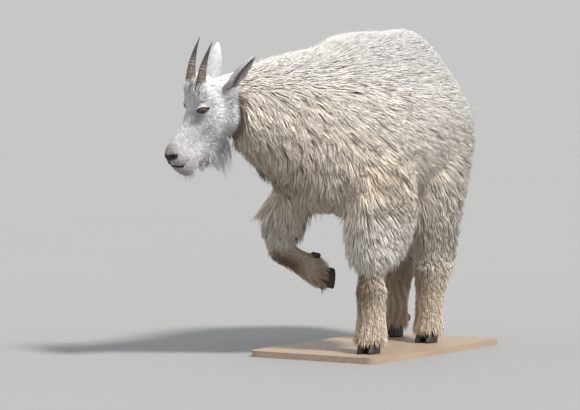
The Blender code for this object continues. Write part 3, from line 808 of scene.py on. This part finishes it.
def plus(first, *others):
    for other in others:
        first = calc("ADD", first, other)
    return first


def times(first, *others):
    for other in others:
        first = calc("MULTIPLY", first, other)
    return first


def tube(name, rings, tip=None):
    # closed, through rings of points, with a pointed or a flat end
    bm = bmesh.new()
    rings = [[bm.verts.new(point) for point in ring] for ring in rings]
    for low, high in zip(rings, rings[1:]):
        for k in range(len(low)):
            bm.faces.new((low[k - 1], low[k], high[k], high[k - 1]))
    last = rings[-1]
    if tip:
        end = bm.verts.new(tip)
        for k in range(len(last)):
            bm.faces.new((last[k - 1], last[k], end))
    else:
        bm.faces.new(last)
    bm.faces.new(rings[0][::-1])
    bmesh.ops.recalc_face_normals(bm, faces=bm.faces)
    return objectOf(name, written(bm, name))


def lockOf(name, *rings):
    # a thin tapering lock with three sides, 1 long: how far each ring is along it, and its width
    corners = ((-0.5, -0.12), (0.5, -0.12), (0, 0.3))
    item = tube(name, [[(x * width, y * width, t) for x, y in corners] for t, width in rings], (0, 0, 1))
    for key, values in zip(("across", "stand", "along"), vectorsOf(item.data).T):
        store(item.data, key, values)
    return item


def turnedOutward(mesh, count):
    # sagging turns some locks inside out, so their faces go the other way round
    area, middle, normal = (valuesOf(mesh.polygons, key, width, np.float32)
                            for key, width in (("area", 1), ("center", 3), ("normal", 3)))
    middle -= np.repeat(middle.reshape(-1, count, 3).mean(1), count, axis=0)
    volume = (area * (middle * normal).sum(1)).reshape(-1, count).sum(1)
    for k in np.flatnonzero(np.repeat(volume < 0, count)).tolist():
        mesh.polygons[k].flip()
    mesh.update()


coatSockets = {
    "Geometry": ("Skin",), "Object": ("Lock",), "Int": ("Piece", "Seed"), "String": ("Where", "Reach"),
    "Float": ("Spacing", "Clump Spacing", "Wildness", "Length", "Rise", "Droop", "Girth", "Patch"),
    "Material": ("Finish",),
}
lockShape = {
    "densest": 400000.0, "densestClumps": 60000.0,  # to a square metre
    "turn": 1.6,  # how much a clumped lock strays
    "steep": 1.75,  # the slope at the root, of the height of its tip
    "sunk": 0.0008,
    "ripples": 190.0,  # in radians a metre
    "gather": 1.3,  # above 1, only the tips meet in a clump
}


def coatTree():
    # Piece -1 is the whole skin; Where and Reach name the fields of density and length
    tree = bpy.data.node_groups.new("coat", "GeometryNodeTree")
    for kind, names in coatSockets.items():
        for name in names:
            tree.interface.new_socket(name, in_out="INPUT", socket_type="NodeSocket" + kind)
    tree.interface.new_socket("Coat", in_out="OUTPUT", socket_type="NodeSocketGeometry")
    given = tree.nodes.new("NodeGroupInput").outputs

    def named(name, kind="FLOAT"):
        return wire(tree, "GeometryNodeInputNamedAttribute", name, data_type=kind)

    def way(name):
        return named(name, "FLOAT_VECTOR")

    def kept(geometry, name, value, kind, domain="POINT"):
        stored.add(name)
        return wire(tree, "GeometryNodeStoreNamedAttribute", geometry, None, name, value,
                    data_type=kind, domain=domain)

    def chance(low, high, ident, shift):
        return wire(tree, "FunctionNodeRandomValue", low, high, ident, plus(given["Seed"], shift))

    def same(first, second, operation):
        return wire(tree, "FunctionNodeCompare", first, second, data_type="INT", operation=operation)

    def scattered(spacing, densest, where):
        return wire(tree, "GeometryNodeDistributePointsOnFaces", given["Skin"], mine, given[spacing], densest,
                    where, given["Seed"], distribute_method="POISSON")

    mine = wire(tree, "FunctionNodeBooleanMath", same(named("piece", "INT"), given["Piece"], "EQUAL"),
                same(given["Piece"], 0, "LESS_THAN"), operation="OR")
    place, index = wire(tree, "GeometryNodeInputPosition"), wire(tree, "GeometryNodeInputIndex")
    points = scattered("Spacing", lockShape["densest"], named(given["Where"]))
    normal = points.node.outputs["Normal"]
    clumps = scattered("Clump Spacing", lockShape["densestClumps"], 1.0)
    clump = wire(tree, "GeometryNodeSampleNearest", clumps, place, domain="POINT")
    clumpAt = wire(tree, "GeometryNodeSampleIndex", clumps, place, clump,
                   data_type="FLOAT_VECTOR", domain="POINT")
    pull = named("pull")
    lean = times(plus(chance(-0.22, 0.22, clump, 1), chance(-0.14, 0.14, index, 2)), given["Wildness"])
    ahead = wire(tree, "ShaderNodeVectorRotate", way("lie"), (0, 0, 0), normal,
                 times(lean, times(pull, lockShape["turn"])), rotation_type="AXIS_ANGLE")
    deeper = calc("SUBTRACT", 1.0, times(chance(0, 0.34, clump, 14), pull))  # some locks lie lower
    for name, value in {
        "root": place,
        "up": normal,
        "ahead": ahead,
        "side": calc("NORMALIZE", calc("CROSS_PRODUCT", normal, ahead)),
        "toClump": calc("SCALE", calc("SUBTRACT", clumpAt, place), times(pull, chance(0.7, 1.15, index, 9))),
        "size": times(chance(0.84, 1.14, clump, 3), chance(0.78, 1.05, index, 4), given["Length"],
                      named(given["Reach"])),
        "high": times(chance(0.88, 1.06, clump, 5), chance(0.78, 1.04, index, 6), deeper, given["Rise"],
                      named("rise")),
        "shade": plus(chance(0, 0.6, clump, 7), chance(0, 0.4, index, 8)),
        "breadth": times(named("girth"), chance(0.6, 1.25, index, 13), given["Girth"]),
        "phase": plus(chance(0, 6.28, clump, 10), chance(-0.5, 0.5, index, 11)),
        "swing": times(named("wave"), chance(0.6, 1.4, clump, 12)),
    }.items():
        points = kept(points, name, value, "FLOAT_VECTOR" if value.type == "VECTOR" else "FLOAT")
    lock = wire(tree, "GeometryNodeObjectInfo", given["Lock"]).node.outputs["Geometry"]
    coat = wire(tree, "GeometryNodeInstanceOnPoints", points, None, lock)
    coat = wire(tree, "GeometryNodeRealizeInstances", coat)

    # each lock rises from its root, waves, gathers to its clump and sags
    t, girth = named("along"), named("breadth")
    far = times(named("size"), t)
    steep = lockShape["steep"]
    curve = calc("SUBTRACT", times(t, steep), times(times(t, t), steep - 1))
    lift = calc("SUBTRACT", times(named("high"), curve), lockShape["sunk"])
    angle = plus(times(far, lockShape["ripples"]), named("phase"))
    wave = times(calc("SINE", angle), times(named("swing"), t))
    bob = times(calc("COSINE", angle), times(named("swing"), 0.5, t))
    sag = times(times(far, t), times(given["Droop"], -1.0))
    spot = plus(
        way("root"),
        calc("SCALE", way("ahead"), far),
        calc("SCALE", way("side"), plus(times(named("across"), girth), wave)),
        calc("SCALE", way("up"), plus(times(named("stand"), girth), lift, bob)),
        calc("SCALE", way("toClump"), calc("POWER", t, lockShape["gather"])),
        wire(tree, "ShaderNodeCombineXYZ", 0, 0, sag))
    coat = wire(tree, "GeometryNodeSetPosition", coat, None, spot)
    patch = calc("SCALE", wire(tree, "ShaderNodeCombineXYZ", named("across"), t, 0), given["Patch"])
    coat = kept(coat, "OFBake", plus(way("spot"), patch), "FLOAT2", "CORNER")
    coat = wire(tree, "GeometryNodeSetShadeSmooth", coat)
    coat = wire(tree, "GeometryNodeSetMaterial", coat, None, given["Finish"])
    tree.links.new(coat, tree.nodes.new("NodeGroupOutput").inputs[0])
    return tree


longLock = lockOf("longLock", (0, 0.8), (0.3, 1), (0.6, 0.76), (0.84, 0.4))
mediumLock = lockOf("mediumLock", (0, 0.85), (0.42, 1), (0.78, 0.52))
shortLock = lockOf("shortLock", (0, 0.9), (0.55, 0.9))
beardLock = lockOf("beardLock", (0, 0.8), (0.2, 1), (0.4, 0.9), (0.6, 0.75), (0.8, 0.5))
usualCoat = {
    "Where": "hairy", "Reach": "reach", "Wildness": 1.0, "Length": 1.0, "Rise": 1.0, "Droop": 0.05,
    "Girth": 1.0, "Patch": 0.003,
}
coatPieces = {  # the lock, the spacing of locks and of clumps, and the inputs that aren't the usual ones
    "coat_trunk_left_fore": (mediumLock, 0.0032, 0.019, {}),
    "coat_trunk_left_hind": (mediumLock, 0.0032, 0.016, {}),
    "coat_trunk_right_fore": (mediumLock, 0.0032, 0.019, {}),
    "coat_trunk_right_hind": (mediumLock, 0.0033, 0.016, {}),
    "coat_neck_left": (longLock, 0.0033, 0.018, {}),
    "coat_neck_right": (longLock, 0.0033, 0.018, {}),
    "coat_tail": (longLock, 0.0039, 0.016, {}),
    "coat_leg_front_left": (mediumLock, 0.0036, 0.013, {}),
    "coat_leg_front_right": (mediumLock, 0.0034, 0.012, {}),
    "coat_leg_hind_left": (mediumLock, 0.0036, 0.013, {}),
    "coat_leg_hind_right": (mediumLock, 0.0036, 0.013, {}),
    "coat_face": (shortLock, 0.0018, 0.0085, {"Droop": 0.0, "Rise": 0.5, "Wildness": 0.8, "Length": 1.35}),
    "coat_ears": (shortLock, 0.0024, 0.006, {"Droop": 0.0, "Rise": 0.8}),
    "crest": (mediumLock, 0.0065, 0.018, {
        "Where": "crested", "Reach": "crestReach", "Rise": 1.12, "Wildness": 4.0, "Girth": 0.6}),
    "elbow_tuft": (longLock, 0.0025, 0.016, {
        "Where": "pitted", "Reach": "crestReach", "Length": 1.2, "Rise": 1.1, "Droop": 0.7,
        "Wildness": 1.5, "Girth": 0.7}),
    "beard": (beardLock, 0.0021, 0.013, {
        "Where": "beardy", "Reach": "beardReach", "Droop": 2.5, "Wildness": 1.3, "Girth": 1.9}),
}


def materialOf(name, look, *settings):
    # the look gives the shader's inputs
    made = bpy.data.materials.new(name)
    made.use_nodes = True
    fill(made.node_tree.nodes["Principled BSDF"], look(made.node_tree, *settings))
    return made


def objectPlaces(tree):
    return tree.nodes.new("ShaderNodeTexCoord").outputs["Object"]


def attribute(tree, name, output="Fac"):
    made = tree.nodes.new("ShaderNodeAttribute")
    made.attribute_name = name
    return made.outputs[output]


def mapped(value, *limits):
    # from a range to 0 and 1, or to the last two limits
    return wire(value.id_data, "ShaderNodeMapRange", value, *limits)


def mixed(factor, first, second):
    return wire(factor.id_data, "ShaderNodeMix", factor, first, second, data_type="RGBA")


def noise(where, *settings):
    return wire(where.id_data, "ShaderNodeTexNoise", where, *settings)


def cells(where, scale):
    return wire(where.id_data, "ShaderNodeTexVoronoi", where, scale)


def bumped(height, strength, distance, before=None):
    return wire(height.id_data, "ShaderNodeBump", strength, distance, None, height, before)


def mottleGroup():
    # uneven colour at two sizes, from Object coordinates
    tree = bpy.data.node_groups.new("mottle", "ShaderNodeTree")
    for way, kinds in {
        "INPUT": {"Colour": "Color", "Large": "Float", "Fine": "Float", "Amount": "Float"},
        "OUTPUT": {"Colour": "Color", "Mask": "Float"},
    }.items():
        for name, kind in kinds.items():
            tree.interface.new_socket(name, in_out=way, socket_type="NodeSocket" + kind)
    given = tree.nodes.new("NodeGroupInput").outputs
    where = objectPlaces(tree)
    mask = plus(times(noise(where, given["Large"], 3.0), 0.6), times(noise(where, given["Fine"], 2.0), 0.4))
    scale = plus(times(calc("SUBTRACT", mask, 0.5), given["Amount"], 2.0), 1.0)
    colour = calc("SCALE", given["Colour"], scale)
    fill(tree.nodes.new("NodeGroupOutput"), {"Colour": colour, "Mask": mask})
    return tree


mottle = mottleGroup()


def mottled(tree, colour, large, fine, amount):
    made = tree.nodes.new("ShaderNodeGroup")
    made.node_tree = mottle
    fill(made, {"Colour": colour, "Large": large, "Fine": fine, "Amount": amount})
    return made.outputs["Colour"], made.outputs["Mask"]


def hairLook(tree, rootTanAndShade, rough, softness, contrast):
    # a lock's own faces count less than the way the skin under it faces, as in real soft fur
    face = tree.nodes.new("ShaderNodeNewGeometry").outputs["Normal"]
    facing = calc("SCALE", attribute(tree, "up", "Vector"), softness)
    tint, shade = attribute(tree, "tint", "Color"), attribute(tree, "shade")
    # each lock darker towards its root: partly the roots' own tan, partly painted shade down in the coat
    climb = mapped(attribute(tree, "along"), 0.15, 0.75)
    climb = times(climb, mapped(shade, 0.1, 0.5, 0.68, 1))  # some locks stay dull
    colour = mixed(climb, times(tint, rootTanAndShade), tint)
    colour = calc("SCALE", colour, plus(times(shade, contrast), 0.98 - contrast / 2))
    colour, _ = mottled(tree, colour, 7, 260, 0.1)
    return {"Base Color": colour, "Roughness": rough, "Specular IOR Level": 0.25,
            "Normal": calc("NORMALIZE", plus(face, facing))}


skinTones = {"speck": (0.14, 0.1, 0.085, 1), "leather": (0.016, 0.014, 0.015, 1)}


def skinLook(tree):
    where = objectPlaces(tree)
    colour, _ = mottled(tree, attribute(tree, "tint", "Color"), 9, 300, 0.14)
    strands = noise(times(attribute(tree, "face", "Vector"), (1, 0.25, 1)), 460, 4, 0.6)
    # the skin is painted darker than the hair over it, in streaks: painted shade between and under the hairs
    colour = calc("SCALE", colour, mapped(strands, 0.36, 0.62, 0.42, 0.88))
    speck = times(mapped(cells(where, 240), 0.1, 0.36, 0.75, 0), attribute(tree, "freckled"))
    black = mapped(attribute(tree, "bare"), 0.25, 0.62)
    colour = mixed(speck, colour, skinTones["speck"])
    return {"Base Color": mixed(black, colour, skinTones["leather"]),
            "Roughness": mapped(black, 0, 1, 0.8, 0.45), "Specular IOR Level": 0.3,
            "Normal": bumped(cells(where, 700), 0.3, 0.0006, bumped(strands, 0.6, 0.0012))}


def finished(item, finish, slot, *cadNodes):
    item.data.materials.clear()
    item.data.materials.append(finish)
    item.data.shade_smooth()
    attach(item, "root")
    if cadNodes:
        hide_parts(*cadNodes)


hairFinish = materialOf("coat_hair", hairLook, (0.91, 0.83, 0.73), 0.62, 2.6, 0.2)
beardFinish = materialOf("beard_hair", hairLook, (0.97, 0.96, 0.95), 0.62, 0.25, 0.1)
faceFinish = materialOf("face_hair", hairLook, (0.6, 0.59, 0.6), 0.66, 0.65, 0.4)
finishes = {"beard": beardFinish, "coat_face": faceFinish, "coat_ears": faceFinish}
finished(skin, materialOf("skin", skinLook), "coat", *fleshNames, "ear_left", "ear_right")

coatGroup = coatTree()
inputKeys = {s.name: s.identifier for s in coatGroup.interface.items_tree if s.in_out == "INPUT"}
wider = 1.0
total = 0
for k, (name, (lock, spacing, clumping, changes)) in enumerate(coatPieces.items()):
    carrier = objectOf(name, skin.data)
    grow = carrier.modifiers.new("grow", "NODES")
    grow.node_group = coatGroup
    region = "head" if name in ("coat_face", "beard") else name.removeprefix("coat_")
    for key, value in (usualCoat | changes | {
        "Lock": lock, "Piece": pieceNames.index(region) if region in pieceNames else -1, "Seed": 40 + 20 * k,
        "Spacing": spacing * wider, "Clump Spacing": clumping, "Finish": finishes.get(name, hairFinish),
    }).items():
        grow[inputKeys[key]] = value
    mesh = grownMesh(carrier)
    carrier.modifiers.clear()
    carrier.data = mesh
    turnedOutward(mesh, len(lock.data.polygons))
    for key in sorted(stored - {"along", "shade", "tint", "up", "OFBake"}):
        if key in mesh.attributes:
            mesh.attributes.remove(mesh.attributes[key])
    mesh.calc_loop_triangles()
    total += len(mesh.loop_triangles)
    print(name, len(mesh.loop_triangles), "triangles")
    finished(carrier, finishes.get(name, hairFinish), "coat")
for lock in (longLock, mediumLock, shortLock, beardLock):
    bpy.data.objects.remove(lock)
print("coat,", total, "triangles")

sideWords = {1: "left", -1: "right"}


eyeTones = {
    "amber": ((0.06, 0.028, 0.01, 1), (0.26, 0.135, 0.038, 1)),
    "rim": (0.02, 0.012, 0.01, 1),
    "slit": (0.004, 0.004, 0.005, 1),
}


def eyeLook(tree):
    where = attribute(tree, "gaze", "Vector")
    split = wire(tree, "ShaderNodeSeparateXYZ", where).node.outputs
    x, y = split[0], calc("SUBTRACT", split[1], 0.0012)
    away = calc("LENGTH", wire(tree, "ShaderNodeCombineXYZ", x, y, 0))
    slit = calc("LENGTH", wire(tree, "ShaderNodeCombineXYZ", times(x, 0.55), y, 0))
    colour = mixed(noise(calc("NORMALIZE", where), 24, 2), *eyeTones["amber"])
    colour = mixed(mapped(away, 0.0082, 0.0104), colour, eyeTones["rim"])
    colour = mixed(mapped(slit, 0.0034, 0.0044, 1, 0), colour, eyeTones["slit"])
    return {"Base Color": colour, "Roughness": 0.12, "Coat Weight": 0.6, "Coat Roughness": 0.03}


def makeEye(side):
    mirror = np.array((side, 1, 1))
    middle = Vector(outOfHead(eye["middle"] * mirror))
    outward, along = (Vector(turnedOut(axis * mirror)) for axis in eyeAxes()[:2])
    level = outward.cross(Vector((0, 0, 1))).normalized()
    level = (level * 0.75 + along * (0.25 if level.dot(along) > 0 else -0.25)).normalized()
    upright = outward.cross(level).normalized()
    bm = bmesh.new()
    bmesh.ops.create_uvsphere(bm, u_segments=40, v_segments=28, radius=1)
    gaze = []
    for vert in bm.verts:
        x, y, z = vert.co
        radius = eye["radius"] + eye["bulge"] * math.exp(-(x * x + y * y) / 0.3) * (z > 0)
        gaze.append((x * radius, y * radius, z * radius))
        vert.co = middle + (level * x + upright * y + outward * z) * radius
    bmesh.ops.recalc_face_normals(bm, faces=bm.faces)
    ball = objectOf("eyeball_" + sideWords[side], written(bm, "eyeball_" + sideWords[side]))
    store(ball.data, "gaze", gaze)
    finished(ball, eyeFinish, "eye", "eye_" + sideWords[side])


eyeFinish = materialOf("eye", eyeLook)
for side in sideWords:
    makeEye(side)
print("eyes")

horn = {
    "base": Vector((0.029, -0.073, 0.05)),
    "reach": Vector((0.008, 0.112, 0.068)),
    "bow": Vector((0, -0.0083, 0.0055)),
    "radius": 0.0155,
    "sink": 0.14,  # part of the length below the root
    "rings": 96,
    "points": 28,
    "ridge": 0.0019,  # the tallest one
    "groove": 0.0007,
    # how far along each ridge is, how tall and how wide
    "ridges": np.array((
        (0.06, 0.0007, 0.012), (0.13, 0.0005, 0.01), (0.2, 0.0007, 0.012), (0.29, 0.0006, 0.012),
        (0.36, 0.0004, 0.01), (0.455, 0.0019, 0.014), (0.515, 0.0017, 0.013))),
}


hornTones = {
    "brown": ((0.045, 0.034, 0.029, 1), (0.25, 0.19, 0.155, 1)),
    "black": ((0.016, 0.015, 0.017, 1), (0.075, 0.068, 0.07, 1)),
    "root": (0.03, 0.022, 0.018, 1),
    "ridge": (0.46, 0.38, 0.32, 1),
    "groove": (0.012, 0.01, 0.01, 1),
}


def hornLook(tree):
    far = attribute(tree, "far")
    streaks = noise(attribute(tree, "grain", "Vector"), 6, 4)
    spread = mapped(streaks, 0.35, 0.65)
    brown = mixed(spread, *hornTones["brown"])
    brown = mixed(mapped(far, 0.02, 0.34, 0.8, 0), brown, hornTones["root"])
    brown = mixed(attribute(tree, "ridge"), brown, hornTones["ridge"])
    black = mixed(spread, *hornTones["black"])
    colour, mask = mottled(tree, mixed(mapped(far, 0.42, 0.72), brown, black), 60, 500, 0.25)
    return {"Base Color": mixed(attribute(tree, "groove"), colour, hornTones["groove"]),
            "Roughness": mapped(mask, 0.3, 0.7, 0.42, 0.62), "Normal": bumped(streaks, 0.5, 0.0007)}


def makeHorn(side):
    mirror = Vector((side, 1, 1))
    start, reach = horn["base"] * mirror, horn["reach"] * mirror
    turned = headToWorld.to_3x3()
    at, tall, wide = horn["ridges"].T
    rings, fields = [], []
    for t in np.linspace(-horn["sink"], 1, horn["rings"]).tolist():
        centre = headToWorld @ (start + reach * t + horn["bow"] * (4 * t * (1 - t)))
        ahead = (turned @ (reach + horn["bow"] * (4 - 8 * t))).normalized()
        across = ahead.cross(turned @ Vector((1, 0, 0))).normalized()
        beside = across.cross(ahead)
        swell = float(tall @ bell((t - at) / wide))
        cut = float(tall @ bell((t - at - wide * 1.5) / (wide * 0.45))) / horn["ridge"]
        radius = horn["radius"] * (1 - 0.96 * max(t, 0) ** 1.15) * (1.04 if t < 0.05 else 1)
        radius += swell - horn["groove"] * min(cut, 1)
        ring = []
        for k in range(horn["points"]):
            angle = 2 * math.pi * k / horn["points"]
            x, y = math.cos(angle), math.sin(angle)
            ripple = 1 + 0.012 * math.sin(angle * 5 + t * 3) * (1 - max(t, 0))
            ring.append(centre + (beside * x * 0.95 + across * y * 1.05) * radius * ripple)
            shown = min(cut * 1.3, 1), min(swell / horn["ridge"], 1) * 0.8
            fields.append((t, *shown, x * 1.2, y * 1.2, t * 1.1 + side))
        rings.append(ring)
    item = tube("ringed_horn_" + sideWords[side], rings)
    far, groove, ridge, *grain = np.array(fields).T
    for key, values in {"far": far, "groove": groove, "ridge": ridge, "grain": columns(*grain)}.items():
        store(item.data, key, values)
    finished(item, hornFinish, "horn", "horn_" + sideWords[side])


hornFinish = materialOf("horn", hornLook)
for side in sideWords:
    makeHorn(side)
print("horns")


hoof = {
    "tone": (0.03, 0.026, 0.025, 1), "flat": 0.02,
    "edge": {"width": 0.0016, "segments": 3, "limit_method": "ANGLE"},
}


def hoofLook(tree):
    colour, mask = mottled(tree, hoof["tone"], 40, 380, 0.5)
    lines = noise(times(objectPlaces(tree), (1, 1, 6)), 70, 2)
    return {"Base Color": colour, "Roughness": mapped(mask, 0.3, 0.7, 0.4, 0.66),
            "Normal": bumped(lines, 0.5, 0.0006)}


hoofFinish = materialOf("hoof", hoofLook)
for name in [n for n in nodes if n.startswith(("claw", "dewclaw"))]:
    bm = opened(nodes[name].data)
    merged(bm)
    bmesh.ops.dissolve_limit(bm, angle_limit=hoof["flat"], verts=bm.verts, edges=bm.edges)
    item = objectOf("smooth_" + name, written(bm, "smooth_" + name))
    settled(item, bevel=hoof["edge"])
    finished(item, hoofFinish, "hoof", name)
print("claws")


woodTones = (0.24, 0.17, 0.115, 1), (0.42, 0.32, 0.23, 1)


def boardLook(tree):
    grain = noise(times(objectPlaces(tree), (9, 0.9, 9)), 6, 6, 0.6)
    colour, _ = mottled(tree, mixed(grain, *woodTones), 3, 90, 0.12)
    return {"Base Color": colour, "Roughness": mapped(grain, 0.3, 0.7, 0.45, 0.6),
            "Normal": bumped(grain, 0.25, 0.0005)}


for slot in nodes["stand_board"].material_slots:
    slot.material = materialOf("board", boardLook)
print("board")

view = {
    "azimuth": math.radians(33), "elevation": math.radians(3), "distance": 9, "lens": 196.6,
    "target": Vector((-0.1554, -0.0286, 0.418)),
}
sunlight = {"from": Vector((0.64, -0.14, 0.76)), "softness": 9, "power": 4.6, "colour": (1, 0.985, 0.96)}
studio = {"floor": (0.277, 0.275, 0.2715, 1), "radius": 90}
sky = {"light": (0.94, 0.965, 1, 1), "strength": 0.82, "backdrop": (0.57, 0.57, 0.565, 1)}


def floorLook(tree):
    return {"Base Color": mottled(tree, studio["floor"], 0.8, 30, 0.03)[0], "Roughness": 0.8}


def aimed(item, back):
    item.rotation_mode = "QUATERNION"
    item.rotation_quaternion = (-back).to_track_quat("-Z", "Y")
    return item


bm = bmesh.new()
bmesh.ops.create_circle(bm, cap_ends=True, segments=64, radius=studio["radius"])
floor = objectOf("floor", written(bm, "floor"))
floor.data.materials.append(materialOf("studio_floor", floorLook))

level = math.cos(view["elevation"])
back = Vector((math.sin(view["azimuth"]) * level, -math.cos(view["azimuth"]) * level,
               math.sin(view["elevation"])))
lens = bpy.data.cameras.new("camera")
lens.lens = view["lens"]
lens.clip_end = 100
camera = aimed(objectOf("camera", lens), back)
camera.location = view["target"] + back * view["distance"]
bpy.context.scene.camera = camera

lamp = bpy.data.lights.new("key", "SUN")
lamp.angle = math.radians(sunlight["softness"])
lamp.energy = sunlight["power"]
lamp.color = sunlight["colour"]
aimed(objectOf("key", lamp), sunlight["from"])
world = bpy.data.worlds.new("studio")
world.use_nodes = True
tree = world.node_tree
light = tree.nodes["Background"]
fill(light, {"Color": sky["light"], "Strength": sky["strength"]})
backdrop = wire(tree, "ShaderNodeBackground", sky["backdrop"], 1)  # seen behind the floor
seen = tree.nodes.new("ShaderNodeLightPath").outputs["Is Camera Ray"]
shown = wire(tree, "ShaderNodeMixShader", seen, light.outputs[0], backdrop)
fill(tree.nodes["World Output"], {"Surface": shown})
bpy.context.scene.world = world
bpy.context.scene.view_settings.view_transform = "Standard"
print("stage")
